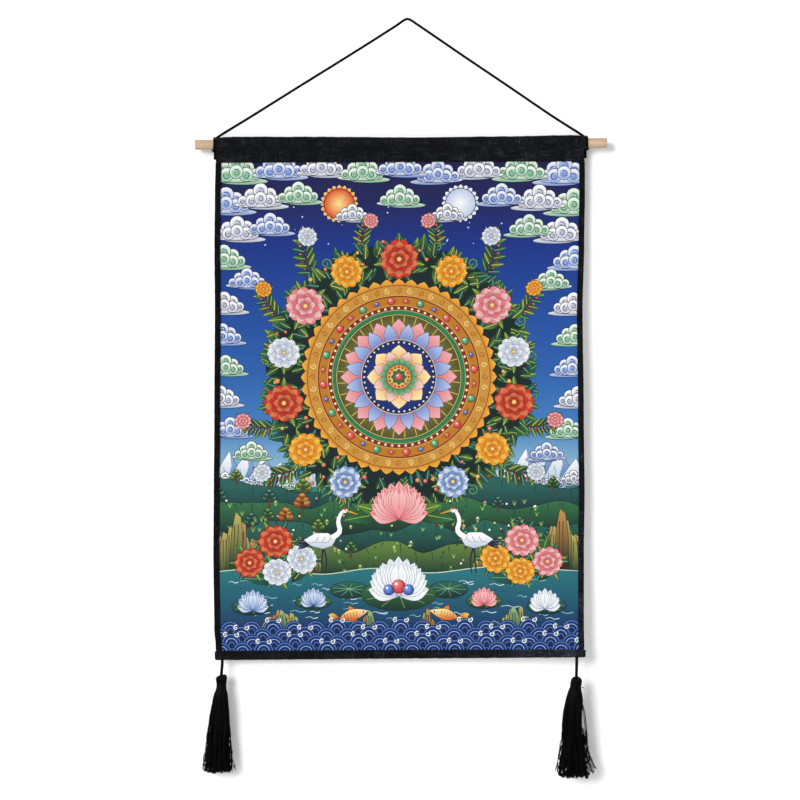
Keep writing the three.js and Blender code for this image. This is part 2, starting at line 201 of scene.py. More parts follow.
def catmull(points, spacing):
    """The centripetal Catmull-Rom curve through the points, at even spacing."""
    points = np.asarray(points, float)
    knots = np.vstack([2 * points[0] - points[1], points, 2 * points[-1] - points[-2]])
    curve = []
    for i in range(1, len(knots) - 2):
        p0, p1, p2, p3 = knots[i - 1 : i + 3]
        d0, d1, d2 = (np.linalg.norm(b - a) ** 0.5 for a, b in ((p0, p1), (p1, p2), (p2, p3)))
        m1 = ((p1 - p0) / d0 - (p2 - p0) / (d0 + d1) + (p2 - p1) / d1) * d1
        m2 = ((p2 - p1) / d1 - (p3 - p1) / (d1 + d2) + (p3 - p2) / d2) * d1
        a = 2 * p1 - 2 * p2 + m1 + m2
        b = -3 * p1 + 3 * p2 - 2 * m1 - m2
        curve += [a * t**3 + b * t**2 + m1 * t + p1 for t in np.linspace(0, 1, 40, endpoint=False)]
    curve = np.array([*curve, knots[-2]])
    along = gone_of(curve)
    even = np.linspace(0, along[-1], max(2, round(along[-1] / spacing) + 1))
    return np.stack([np.interp(even, along, column) for column in curve.T], axis=1)


def twisted_rings(path, diameter, plies, pitch, sides):
    """Sections of a cord laid up from round plies, along a path."""
    radius = diameter / 2
    strand = radius * PLY_SHARE
    tangents = unit(np.gradient(path, axis=0))
    normal = np.cross(tangents[0], (0.3, 0.9, 0.2))
    angles = np.linspace(0, 2 * np.pi, sides, endpoint=False)
    rings = []
    for spot, tangent, gone in zip(path, tangents, gone_of(path)):
        normal = normal - tangent * np.dot(normal, tangent)
        normal /= np.linalg.norm(normal)
        side = np.cross(tangent, normal)
        turned = (angles - 2 * np.pi * gone / pitch) % (2 * np.pi / plies) - np.pi / plies
        off = (radius - strand) * np.sin(turned)
        reach = (radius - strand) * np.cos(turned) + np.sqrt(strand**2 - off**2)
        rings.append(spot + circle(angles, reach, reach) @ (normal, side))
    return np.array(rings)


# Materials

# Threads a metre in a wave texture of scale 1
THREADS_AT_SCALE_ONE = 6.2
# How fast the linen gets paler, for each square metre to the right and down
LINEN_FADE = 0.62


def feed(tree, made, values):
    """Sets a node's inputs and properties by name, and links the values that are another node's output."""
    for name, value in values.items():
        socket = made.inputs.get(name.replace("_", " "))
        if isinstance(value, bpy.types.NodeSocket):
            tree.links.new(value, socket)
        elif socket:
            socket.default_value = value
        else:
            setattr(made, name, value)


def node(tree, kind, **values):
    made = tree.nodes.new(kind)
    feed(tree, made, values)
    return made


def new_material(name, **inputs):
    """A material, its tree and its shader."""
    material = bpy.data.materials.new(name)
    material.use_nodes = True
    shader = material.node_tree.nodes["Principled BSDF"]
    feed(material.node_tree, shader, inputs)
    return material, material.node_tree, shader


def coordinates(tree, scale):
    """Object coordinates times a scale for each axis."""
    place = node(tree, "ShaderNodeTexCoord").outputs["Object"]
    return node(tree, "ShaderNodeMapping", Vector=place, Scale=scale).outputs["Vector"]


def noise_at(tree, scale, detail=3.0, roughness=0.5):
    """Noise with a scale for each axis."""
    vector = coordinates(tree, scale)
    made = node(tree, "ShaderNodeTexNoise", Vector=vector, Scale=1.0, Detail=detail, Roughness=roughness)
    return made.outputs["Fac"]


def ramp(tree, factor, stops):
    """A colour ramp of stops (position, colour)."""
    made = node(tree, "ShaderNodeValToRGB", Fac=factor)
    elements = made.color_ramp.elements
    while len(elements) < len(stops):
        elements.new(0.5)
    for element, (position, colour) in zip(elements, stops):
        element.position = position
        element.color = (*colour, 1)
    return made.outputs["Color"]


def arithmetic(tree, operation, *values):
    made = node(tree, "ShaderNodeMath", operation=operation)
    for socket, value in zip(made.inputs, values):
        if isinstance(value, bpy.types.NodeSocket):
            tree.links.new(value, socket)
        else:
            socket.default_value = value
    return made.outputs[0]


def weighted(tree, first, share, second):
    """The first value with a share, and the second with the rest."""
    parts = [arithmetic(tree, "MULTIPLY", *pair) for pair in ((first, share), (second, 1 - share))]
    return arithmetic(tree, "ADD", *parts)


def multiplied(tree, *colours):
    """The product of two colours."""
    made = node(tree, "ShaderNodeMix", data_type="RGBA", blend_type="MULTIPLY", Factor=1.0)
    for socket, colour in zip(made.inputs[6:8], colours):
        tree.links.new(colour, socket)
    return made.outputs[2]


def set_surface(tree, shader, colour, height, strength, distance):
    """Gives the shader its colour and its relief, which is some millimetres deep."""
    bump = node(tree, "ShaderNodeBump", Height=height, Strength=strength, Distance=distance * MM)
    feed(tree, shader, {"Base Color": colour, "Normal": bump.outputs["Normal"]})


def weave(tree, pitch):
    """Height of a plain weave in the cloth's plane, threads at a pitch in millimetres."""
    vector = coordinates(tree, (1, 1, 1))
    scale = 1 / (pitch * MM * THREADS_AT_SCALE_ONE)
    looks = {"Vector": vector, "Scale": scale, "Distortion": 1.2, "Detail_Scale": 2.0}
    waves = [node(tree, "ShaderNodeTexWave", bands_direction=way, **looks).outputs["Fac"] for way in "XZ"]
    return arithmetic(tree, "MULTIPLY", *waves)


def linen_material():
    """Black slub linen, a little paler towards the lower right; each piece's own colour scales it."""
    material, tree, shader = new_material(
        "black_linen", Roughness=0.9, Specular_IOR_Level=0.1, Sheen_Weight=0.01
    )
    weft = noise_at(tree, (70, 300, 850), 4.0, 0.6)
    warp = noise_at(tree, (850, 300, 70), 4.0, 0.6)
    threads = arithmetic(tree, "MAXIMUM", weft, warp)
    mixed = weighted(tree, threads, 0.8, noise_at(tree, (60, 60, 60), 2.0))
    place = node(tree, "ShaderNodeSeparateXYZ", Vector=coordinates(tree, (1, 1, 1))).outputs
    rightwards = arithmetic(tree, "MAXIMUM", place["X"], 0.0)
    downwards = arithmetic(tree, "MULTIPLY", place["Z"], -LINEN_FADE)
    paler = arithmetic(tree, "MULTIPLY", rightwards, downwards)
    stops = [
        (0.44, (0.0012, 0.0012, 0.0016)),
        (0.55, (0.0045, 0.0050, 0.0068)),
        (0.64, (0.0130, 0.0148, 0.0210)),
        (0.72, (0.042, 0.048, 0.068)),
        (0.82, (0.085, 0.095, 0.130)),
    ]
    colour = ramp(tree, arithmetic(tree, "ADD", mixed, paler), stops)
    colour = multiplied(tree, colour, node(tree, "ShaderNodeObjectInfo").outputs["Color"])
    set_surface(tree, shader, colour, arithmetic(tree, "ADD", threads, weave(tree, 0.55)), 0.5, 0.25)
    return material


def wood_material():
    material, tree, shader = new_material("light_wood", Roughness=0.55, Specular_IOR_Level=0.35)
    streaks = noise_at(tree, (9, 420, 420), 5.0, 0.6)
    pores = noise_at(tree, (60, 2400, 2400), 3.0, 0.6)
    grain = weighted(tree, streaks, 0.75, pores)
    stops = [
        (0.34, (0.400, 0.271, 0.163)),
        (0.48, (0.510, 0.364, 0.231)),
        (0.62, (0.600, 0.444, 0.304)),
    ]
    set_surface(tree, shader, ramp(tree, grain, stops), grain, 0.35, 0.2)
    return material


def yarn_material(name, colour, lighter, roughness):
    material, tree, shader = new_material(name, Roughness=roughness, Specular_IOR_Level=0.05)
    fibres = noise_at(tree, (1900, 1900, 260), 3.0, 0.6)
    set_surface(tree, shader, ramp(tree, fibres, [(0.40, colour), (0.66, lighter)]), fibres, 0.3, 0.1)
    return material


def canvas_material():
    """Fine canvas in the colours painted on the mesh."""
    material, tree, shader = new_material("printed_canvas", Roughness=0.72, Specular_IOR_Level=0.25)
    painted = node(tree, "ShaderNodeAttribute", attribute_name="paint").outputs["Color"]
    deeper = node(tree, "ShaderNodeGamma", Color=painted, Gamma=1.12).outputs["Color"]
    grain = noise_at(tree, (700, 700, 700), 3.0, 0.6)
    shade = ramp(tree, grain, [(0.3, (0.74, 0.74, 0.72)), (0.7, (0.86, 0.86, 0.84))])
    height = arithmetic(tree, "ADD", weave(tree, 0.45), grain)
    set_surface(tree, shader, multiplied(tree, deeper, shade), height, 0.35, 0.12)
    return material


# Materials that the new meshes take, by name
MATERIALS = {
    "black_linen": linen_material(),
    "light_wood": wood_material(),
    "black_cord": yarn_material("black_cord", (0.0006, 0.0006, 0.0008), (0.0026, 0.0026, 0.0032), 0.50),
    "black_yarn": yarn_material("black_yarn", (0.0005, 0.0005, 0.0007), (0.0026, 0.0026, 0.0034), 0.42),
    "printed_canvas": canvas_material(),
}


# Cords

CORD_DIAMETER = 2.4
TASSEL_CORD_DIAMETER = 2.8
CORD_PLIES, CORD_SIDES = 3, 15
# Along how much of a cord its plies turn once
CORD_PITCH, TASSEL_CORD_PITCH = 7.0, 8.0
# How far the crests of the plies stand out past the nominal diameter
PLY_CREST = 1.42
# A ply's radius, as a share of the cord's
PLY_SHARE = 0.66

# The cord round a rod end, from its tail to where it leaves for the hang point: distance out from the
# left sleeve end, the same on the right, then back and up from the rod's axis
HITCH = [
    (1.4, 1.6, 4.4, -17.6),
    (1.5, 1.6, 6.6, -11.5),
    (1.6, 1.7, 7.9, -4.0),
    (1.6, 1.9, 6.6, 4.0),
    (1.7, 2.4, 0.6, 7.7),
    (1.4, 2.8, -5.6, 5.3),
    (1.4, 2.9, -7.8, -0.8),
    (1.9, 3.1, -4.4, -6.4),
    (3.3, 4.1, 2.6, -7.3),
    (4.4, 4.7, 7.7, -2.6),
    (4.3, 4.6, 9.3, 2.6),
    (2.4, 2.8, 8.7, 6.2),
    (-0.6, -0.4, 7.6, 8.9),
]
LEFT_LEG = [(-190.0, 5.6, -117.9), (-132.1, 3.7, -81.9), (-72.0, 1.9, -44.8), (-14.7, 0.3, -8.7)]
RIGHT_LEG = [(178.0, 5.6, -118.7), (123.5, 3.7, -81.9), (68.0, 1.9, -44.7), (14.9, 0.3, -8.6)]
TOP_BEND = [(-3.1, 0, -0.9), (0, 0, 0), (3.1, 0, -0.9)]


def hitch_points(column, outwards):
    """The hitch on the rod end for a column of the table, outwards being -1 on the left."""
    places = [EDGES[0, 1 + column] + outwards * row[column] for row in HITCH]
    return [(x, row[2], ROD_LEVEL + ROD_TILT * x + row[3]) for x, row in zip(places, HITCH)]


def add_cord(name, path, diameter, pitch, exit_place, lay, *nodes):
    """A laid cord along a path in millimetres, its plies turning once in a pitch."""
    rings = twisted_rings(path, diameter * PLY_CREST, CORD_PLIES, pitch, CORD_SIDES)
    cord = add_mesh(name, *bodies([rings]), "black_cord", *nodes)
    return cord


def add_hanger():
    """The cord over the hang point, which throws no shadow."""
    right = RIGHT_LEG[::-1] + hitch_points(1, 1)[::-1]
    path = catmull(hitch_points(0, -1) + LEFT_LEG + TOP_BEND + right, 0.7)
    nodes = ("hanger_cord", "cord_hitch_left", "cord_hitch_right")
    cord = add_cord("hanger_cord_looks", path, CORD_DIAMETER, CORD_PITCH, path[0], "taut", *nodes)
    cord.visible_shadow = False


add_hanger()


# Rod

ROD_CHAMFER, ROD_WOBBLE = 0.8, 0.04
# A ring this far in from the rod's surface keeps its flat ends flat in their shading
ROD_END_RING = 2.4
ROD_SIDES, ROD_STEPS = 72, 40


def add_rod():
    """A turned rod with small chamfers and a slightly uneven surface."""
    length = ROD_RIGHT - ROD_LEFT
    shoulder = ROD_RADIUS - ROD_CHAMFER
    profile = [(0.0, ROD_RADIUS - ROD_END_RING), (0.0, shoulder)]
    for turn in (0.4, 0.8, 1.2):
        profile.append((ROD_CHAMFER * (1 - math.cos(turn)), shoulder + ROD_CHAMFER * math.sin(turn)))
    profile.append((ROD_CHAMFER, ROD_RADIUS))
    ends = [(length - along, reach) for along, reach in reversed(profile)]
    between_ends = [(length * step / ROD_STEPS, ROD_RADIUS) for step in range(1, ROD_STEPS)]
    angles = np.linspace(0, 2 * np.pi, ROD_SIDES, endpoint=False)
    rings = []
    for along, reach in profile + between_ends + ends:
        x = ROD_LEFT + along
        reach = reach + ROD_WOBBLE * np.sin(3 * angles + along / 60)
        level = ROD_LEVEL + ROD_TILT * x
        ring = [np.full(ROD_SIDES, x), reach * np.cos(angles), level + reach * np.sin(angles)]
        rings.append(np.stack(ring, axis=1))
    add_mesh("rod_looks", *bodies([np.array(rings)]), "light_wood", "rod")


add_rod()


# Linen pieces


def bezier(start, first, second, end, count):
    t = np.linspace(0, 1, count)[:, None]
    start, first, second, end = (np.asarray(p, float) for p in (start, first, second, end))
    return (1 - t) ** 3 * start + 3 * (1 - t) ** 2 * t * first + 3 * (1 - t) * t**2 * second + t**3 * end


def arc(radius, start, end, count):
    return circle(np.radians(np.linspace(start, end, count)), radius, radius)


def joined(*stretches):
    """One outline of stretches that share their ends."""
    return np.vstack([stretch[:-1] for stretch in stretches])


def heading_section():
    """(back, up from the rod's axis) round the folded heading, outside first."""
    inner = ROD_RADIUS + SLEEVE_EASE
    outer = inner + CLOTH
    handle, bend = SEAM_DROP * 0.45, SEAM_DROP * -0.55
    knee, low = -SEAM_DROP - CLOTH, -HEADING_DROP
    return joined(
        np.linspace((-LIP_OUTSIDE, low), (-LIP_OUTSIDE, knee), 8),
        bezier((-LIP_OUTSIDE, knee), (-LIP_OUTSIDE, bend), (-outer, -handle), (-outer, 0), 12),
        arc(outer, 180, 0, 25),
        bezier((outer, 0), (outer, -handle), (LIP_OUTSIDE, bend), (LIP_OUTSIDE, knee), 12),
        np.linspace((LIP_OUTSIDE, knee), (LIP_OUTSIDE, low), 8),
        np.linspace((LIP_OUTSIDE, low), (LIP_INSIDE, low), 3),
        np.linspace((LIP_INSIDE, low), (LIP_INSIDE, -SEAM_DROP), 4),
        bezier((LIP_INSIDE, -SEAM_DROP), (LIP_INSIDE, bend), (inner, -handle), (inner, 0), 8),
        arc(inner, 0, 180, 17),
        bezier((-inner, 0), (-inner, -handle), (-LIP_INSIDE, bend), (-LIP_INSIDE, -SEAM_DROP), 8),
        np.linspace((-LIP_INSIDE, -SEAM_DROP), (-LIP_INSIDE, low), 4),
        np.linspace((-LIP_INSIDE, low), (-LIP_OUTSIDE, low), 3),
    )


def crumple(places, waves):
    """A small smooth push for each place, from noise in waves."""
    places = [Vector(place) for place in places]
    return sum(height * np.array([noise.noise(place / size) for place in places]) for height, size in waves)


# Small crumples of the linen: heights and sizes of their waves
HEADING_CRUMPLES = ((0.4, 11.0), (0.16, 3.1))
BINDING_CRUMPLES = ((0.16, 7.0), (0.1, 2.4))
BAND_CRUMPLES = ((0.30, 8.0), (0.16, 2.8))
# Sections along the pieces
HEADING_STEPS, BINDING_STEPS, BAND_STEPS = 361, 421, 401
# How far the doubled cloth stands up over the rod at places across, and its right end's front past the rest
HEADING_LIFT = np.array(
    [(-1, 0.5), (11, 1.7), (103, 1.7), (225, 0.4), (347, 0.7), (420, 2.2), (440, 2.2), (451, 1.1)]
)
HEM_FLARE = 1.4
# The sewn groove: its depth, how far below the seam's drop it lies, and its width
GROOVE_DEPTH, GROOVE_BELOW, GROOVE_WIDTH = 0.35, 1.6, 0.7


def add_heading():
    section = heading_section()
    out = unit(section)
    outside = np.abs(section[:, 0]) > LIP_INSIDE + 0.05
    outside &= np.linalg.norm(section, axis=1) > ROD_RADIUS + SLEEVE_EASE + 0.2
    rings = []
    for across in np.linspace(0, CLOTH_WIDTH, HEADING_STEPS):
        sway = SLEEVE_SWAY * math.sin(2 * math.pi * SLEEVE_SWAYS * across / CLOTH_WIDTH)
        up = np.where(section[:, 1] > 0, section[:, 1] * (1 + sway / (2 * ROD_RADIUS)), section[:, 1])
        spots = np.stack([np.full(len(section), across), section[:, 0] * 3, up], axis=1)
        lift = between(HEADING_LIFT, 1, across)
        up = np.where(up > 0, up * (1 + lift * np.where(outside, 1, 0.3) / (ROD_RADIUS + CLOTH)), up)
        push = np.where(outside, 0.12 + crumple(spots, HEADING_CRUMPLES), 0)
        seam = GROOVE_DEPTH * np.exp(-(((section[:, 1] + SEAM_DROP + GROOVE_BELOW) / GROOVE_WIDTH) ** 2))
        push = np.where(outside, np.maximum(push, -0.05) - seam, 0)
        back = section[:, 0] + push * np.sign(section[:, 0]) * np.abs(out[:, 0])
        up = up + push * out[:, 1] * (section[:, 1] > 0)
        ring = cloth_points(across, -up, back)
        front = eased(-section[:, 0], 3.5, 7.0) * (section[:, 1] > -9)
        ring[:, 0] += HEM_FLARE * front * eased(across, 436, 450)
        rings.append(ring)
    heading = add_mesh("heading_looks", *bodies([np.array(rings)]), "black_linen", "heading_sleeve")


add_heading()


# The bindings are darker than the rest of the linen
BINDING_SHADE = (0.5, 0.5, 0.5, 1)


def binding_section():
    """(inwards from the outer edge, back) round the folded strip."""
    fold = arc(LIP_OUTSIDE, -90, -270, 17) * (1.3, 1) + (LIP_OUTSIDE, 0)
    return joined(
        np.linspace((BINDING_WIDTH, -LIP_OUTSIDE), (LIP_OUTSIDE, -LIP_OUTSIDE), 6),
        fold,
        np.linspace((LIP_OUTSIDE, LIP_OUTSIDE), (BINDING_WIDTH, LIP_OUTSIDE), 6),
        np.linspace((BINDING_WIDTH, LIP_OUTSIDE), (BINDING_WIDTH, LIP_INSIDE), 3),
        np.linspace((BINDING_WIDTH, LIP_INSIDE), (CLOTH, LIP_INSIDE), 5),
        np.linspace((CLOTH, LIP_INSIDE), (CLOTH, -LIP_INSIDE), 4),
        np.linspace((CLOTH, -LIP_INSIDE), (BINDING_WIDTH, -LIP_INSIDE), 5),
        np.linspace((BINDING_WIDTH, -LIP_INSIDE), (BINDING_WIDTH, -LIP_OUTSIDE), 3),
    )


def add_binding(side):
    section = binding_section()
    if side == "right":
        section = section[::-1]
    outside = (np.abs(section[:, 1]) > LIP_INSIDE + 0.1) | (section[:, 0] < CLOTH - 0.1)
    rings = []
    for down in np.linspace(BAND_DROP - GAP, HEADING_DROP + GAP, BINDING_STEPS):
        inwards, back = section[:, 0], section[:, 1]
        spots = np.stack([inwards * 2, back * 3, np.full(len(section), down)], axis=1)
        if side == "right":
            spots[:, 0] += CLOTH_WIDTH
        push = np.where(outside, crumple(spots, BINDING_CRUMPLES), 0)
        puckered = back + np.sign(back) * np.maximum(push, -0.12) * (np.abs(back) > LIP_INSIDE + 0.1)
        inwards = inwards - np.where(inwards < LIP_OUTSIDE, push, 0) + 0.2 * (inwards > LIP_OUTSIDE) * push
        across = inwards if side == "left" else CLOTH_WIDTH - inwards
        rings.append(cloth_points(across, down, puckered))
    strip = add_mesh(f"binding_{side}_looks", *bodies([np.array(rings)]), "black_linen", f"binding_{side}")
    strip.color = BINDING_SHADE


# Points of the band's section on its outer side, and how lumpy its right end is
BAND_OUTSIDE, BAND_LUMPS = 31, 0.9


def band_section():
    """(back, share of the height) round the folded band."""
    inside, floor, full = BAND_BULGE - CLOTH, CLOTH / BAND_LEFT, 0.7
    return joined(
        bezier((-LIP_OUTSIDE, 1), (-BAND_BULGE, full), (-BAND_BULGE, 0), (0, 0), 16),
        bezier((0, 0), (BAND_BULGE, 0), (BAND_BULGE, full), (LIP_OUTSIDE, 1), 16),
        np.linspace((LIP_OUTSIDE, 1), (LIP_INSIDE, 1), 3),
        bezier((LIP_INSIDE, 1), (inside, full), (inside, floor), (0, floor), 10),
        bezier((0, floor), (-inside, floor), (-inside, full), (-LIP_INSIDE, 1), 10),
        np.linspace((-LIP_INSIDE, 1), (-LIP_OUTSIDE, 1), 3),
    )


def add_band():
    section = band_section()
    outside = np.arange(len(section)) < BAND_OUTSIDE
    rings = []
    even = np.linspace(-0.4, CLOTH_WIDTH + 0.4, BAND_STEPS)
    rims = np.array([BAND_OUT, 1.5, 1.0])
    for across in [*-rims, *even, *CLOTH_WIDTH + rims[::-1]]:
        over = max(-across, across - CLOTH_WIDTH, 0) / BAND_OUT
        fullness = 1 - 0.36 * over**2.6
        height = BAND_LEFT + (BAND_RIGHT - BAND_LEFT) * across / CLOTH_WIDTH
        rise = 0.5 + (section[:, 1] - 0.5) * fullness
        spots = np.stack([np.full(len(section), across), section[:, 0] * 4, rise * height], axis=1)
        push = np.where(outside, crumple(spots, BAND_CRUMPLES), 0)
        back = section[:, 0] * fullness
        back = back + np.sign(back) * np.maximum(push, -0.12) * np.minimum(np.abs(back) / 1.5, 1)
        down = BAND_DROP + height * (1 - rise) + np.where(outside & (section[:, 1] < 0.3), push, 0)
        ring = cloth_points(across, down, back)
        lump = BAND_LUMPS * eased(across, CLOTH_WIDTH - 1, CLOTH_WIDTH + BAND_OUT)
        ring[:, 0] -= lump * np.cos(10.5 * (rise - 0.45))
        rings.append(ring)
    band = add_mesh("band_looks", *bodies([np.array(rings)]), "black_linen", "bottom_band")


# The print: flat shapes on the canvas in millimetres, x to the right and y up from the canvas's middle,
# painted one over the other and then flattened into one sheet

# How far the canvas reaches into the heading and the band
HEADING_HOLD, BAND_HOLD = 8.0, 5.5
CANVAS_WIDTH = CLOTH_WIDTH - 2 * (CLOTH + GAP)
CANVAS_TOP = HEADING_DROP - HEADING_HOLD
CANVAS_FOOT = BAND_DROP + BAND_HOLD
CANVAS_HEIGHT = CANVAS_FOOT - CANVAS_TOP
HALF_WIDTH, HALF_HEIGHT = CANVAS_WIDTH / 2, CANVAS_HEIGHT / 2
# Grids that let the canvas bend in front and at the back, and how far an outline may be off
GRID, REAR_GRID, STRAIGHT = 9.0, 20.0, 0.05
# The grounds reach a little past the canvas
SIDE, TOP, FOOT = HALF_WIDTH + 5, HALF_HEIGHT + 5, -HALF_HEIGHT - 5
INK, LEAF_INK, GILT = "0e1430", "081c1e", "f6d886"

paint = []
glow_centres = []


def tone(code):
    """A linear colour from a code of six hexadecimal digits."""
    parts = [int(code[i : i + 2], 16) / 255 for i in (0, 2, 4)]
    return np.array([v / 12.92 if v <= 0.04045 else ((v + 0.055) / 1.055) ** 2.4 for v in parts])


def blend(first, second, share_of):
    """A fill from one colour to another, by the share that a function gives for each point."""
    a, b = tone(first), tone(second)
    return lambda p: a + (b - a) * np.clip(share_of(p), 0, 1)[:, None]


def flat_fill(code):
    return blend(code, code, lambda p: np.zeros(len(p)))


def fade(first, second, start, end):
    """From one colour at a start point to another at an end point."""
    way = np.subtract(end, start)
    return blend(first, second, lambda p: (p - start) @ way / (way @ way))


def shaded(light, dark, x, y, reach):
    """From light above to dark below, a reach from (x, y) on either side."""
    return fade(light, dark, (x, y + reach), (x, y - reach))


def glow(inner, outer, centre, radius):
    """From one colour at a centre to another at a radius."""
    glow_centres.append(tuple(centre))
    return blend(inner, outer, lambda p: np.linalg.norm(p - centre, axis=1) / radius)


def grown(points, by):
    """A closed outline moved outwards."""
    along = np.roll(points, -1, 0) - np.roll(points, 1, 0)
    return points + by * unit(along @ ((0, -1), (1, 0)))


def lay(points, fill, rim=0.0, ink=INK):
    """Paints one shape, with an outline of some width round it."""
    points = np.asarray(points, float)
    x, y = points.T
    if (x * np.roll(y, -1) - y * np.roll(x, -1)).sum() < 0:
        points = points[::-1]
    if rim:
        paint.append((grown(points, rim), flat_fill(ink)))
    paint.append((points, flat_fill(fill) if isinstance(fill, str) else fill))


def spun(turn):
    """The matrix that turns row vectors by an angle in radians."""
    return np.array([[math.cos(turn), math.sin(turn)], [-math.sin(turn), math.cos(turn)]])


def polar(x, y, reach, turn):
    return (x + reach * math.cos(turn), y + reach * math.sin(turn))


def scaled(x, y, wide, tall, *spots):
    """Places from spots in units of a width and a height."""
    return [(x + a * wide, y + b * tall) for a, b in spots]


def around(count, start=0.0):
    """The steps of one full turn, each with its angle."""
    return [(step, start + 2 * math.pi * step / count) for step in range(count)]


def hand_of(value):
    """1 for what is true or positive, and otherwise -1."""
    return 1 if value > 0 else -1


def oval(x, y, rx, ry, count=16):
    return circle(np.linspace(0, 2 * np.pi, count, endpoint=False), rx, ry) + (x, y)


def disc(x, y, radius, fill, rim=0.0, ink=INK, count=48):
    lay(oval(x, y, radius, radius, count), fill, rim, ink)


def petal(x, y, turn, length, width, blunt=0.8, count=4):
    """An outline from its root at (x, y), pointing along turn."""
    t = np.linspace(0, 1, count + 2)[1:-1]
    side = np.stack([t * length, width / 2 * np.sin(np.pi * t**blunt)], axis=1)
    return np.vstack([[(0, 0)], side * (1, -1), [(length, 0)], side[::-1]]) @ spun(turn) + (x, y)


def scallop(x, y, rx, ry, lobes, depth, turn=0.0, each=4):
    """A round outline of bulging lobes."""
    angles = np.linspace(0, 2 * np.pi, lobes * each, endpoint=False)
    reach = 1 - depth + depth * np.abs(np.sin(lobes * angles / 2)) ** 0.7
    return circle(angles, rx * reach, ry * reach) @ spun(turn) + (x, y)


def stroke(points, start_width, end_width, fill, rim=0.0, ink=INK):
    """Paints a tapered line through some points."""
    points = np.asarray(points, float)
    out = unit(np.gradient(points, axis=0) @ ((0, 1), (-1, 0)))
    half = np.linspace(start_width, end_width, len(points))[:, None] / 2
    lay(np.vstack([points + out * half, (points - out * half)[::-1]]), fill, rim, ink)


def ray(x, y, turn, near, far, start_width, end_width, fill):
    """Paints a straight line away from (x, y)."""
    stroke([polar(x, y, near, turn), polar(x, y, far, turn)], start_width, end_width, fill)


def bow(points, count):
    """A smooth line through a few points."""
    return catmull(points, length_of(points) / count)


def curl(x, y, radius, turns, hand, turn, width, fill, rim=0.0):
    """Paints a spiral line from its outer end to its middle."""
    t = np.linspace(0, 1, int(7 * turns) + 2)
    reach = radius * (1 - 0.85 * t)
    stroke(circle(turn + hand * 2 * np.pi * turns * t, reach, reach) + (x, y), width, width / 2, fill, rim)


def blade(x, y, turn, length, width, root, tip, rim, ink=INK, blunt=1.0, count=4):
    """Paints a petal that fades from its root to its tip."""
    fill = fade(root, tip, (x, y), polar(x, y, length, turn))
    lay(petal(x, y, turn, length, width, blunt, count), fill, rim, ink)


def petal_ring(x, y, inner, outer, count, width, root, tip, ink, turn=0.0, rim=0.4):
    for _, way in around(count, turn):
        blade(*polar(x, y, inner, way), way, outer - inner, width, root, tip, rim, ink)


def berry(x, y, radius, light, heart, reach, aside=0.0, up=0.0, rim=0.45, ink=INK, count=9):
    """A ball that is brightest a little beside its middle."""
    disc(x, y, radius, glow(light, heart, (x + aside, y + up), reach), rim, ink, count)


PINKS = ("fbd3d0", "ec8d96", "a8324a")
ORANGES = ("fdd35c", "f3a120", "b04e10")
REDS = ("f08a5c", "d23f28", "741414")
BLUES = ("eef4fc", "8db0e2", "26478f")
WHITES = ("ffffff", "dfe6ee", "6f86ac")
GEMS = (("ff9a94", "c8202c"), ("8fb8f6", "1c3f9e"), ("94dcb0", "1d7a4c"))
LEAVES = (
    ("12382f", "3f7f4a", "c8cf6a"),
    ("0f3036", "2c7060", "8fc49a"),
    ("1c4426", "6f9a3c", "eee08a"),
    ("6a2410", "d9822a", "f6d878"),
)
CLOUD_TONES = {
    "blue": ("f6f8ff", "bccbee", "7f9cda", "2f4fa2"),
    "green": ("f4faf4", "bcdcc6", "86bd9a", "2f7552"),
    "white": ("ffffff", "e4e6f0", "b7bdd4", "545e8c"),
}
# A cloud's flat feet and round lobes: places from its middle and sizes, in its own size
CLOUD_FEET = ((0.35, -0.34, 0.95), (-0.1, -0.24, 1.08))
CLOUD_LOBES = (
    *((-0.44, 0.20, 0.27), (0.42, 0.22, 0.29), (0.0, 0.40, 0.32), (-0.80, -0.06, 0.21)),
    *((0.78, -0.04, 0.22), (-0.38, -0.06, 0.28), (0.40, -0.06, 0.28), (0.0, 0.06, 0.27)),
)


def cloud(x, y, size, tint, hand=1):
    light, soft, middle, deep = CLOUD_TONES[tint]
    for dx, dy, reach in CLOUD_FEET:
        foot = oval(x + hand * dx * size, y + dy * size, reach * size, 0.13 * size)
        lay(foot, shaded(light, middle, x, y - 0.3 * size, 0.15 * size), 0.7)
    for dx, dy, share in CLOUD_LOBES:
        cx, cy, radius = x + hand * dx * size, y + dy * size, share * size
        low = cy - 0.16 * radius
        disc(cx, cy, radius, shaded(light, soft, cx, cy, radius), 0.75, count=16)
        disc(cx, low, 0.68 * radius, shaded(soft, middle, cx, low, radius), count=12)
        curl(cx, low, 0.56 * radius, 1.25, hand_of(-dx * hand), 2.0 - dx, 1.2, deep)


def leaf(x, y, turn, length, width, tones=LEAVES[0]):
    dark, light, tip = tones
    blade(x, y, turn, length, width, dark, light, 0.45, LEAF_INK, 0.75)
    ray(x, y, turn, 0.12 * length, 0.92 * length, 0.8, 0.4, tip)


def spray(x, y, turn, size, heart):
    """A bud in a fan of narrow leaves with light tips."""
    for step in (-2, 2, -1, 1, 0):
        leaf(x, y, turn + 0.5 * step, size * (1 - 0.07 * abs(step)), size * 0.3, LEAVES[2])
    bud = polar(x, y, 0.42 * size, turn)
    berry(*bud, 0.2 * size, "ffd9a8", heart, 0.22 * size, -0.5, 0.6, 0.4)


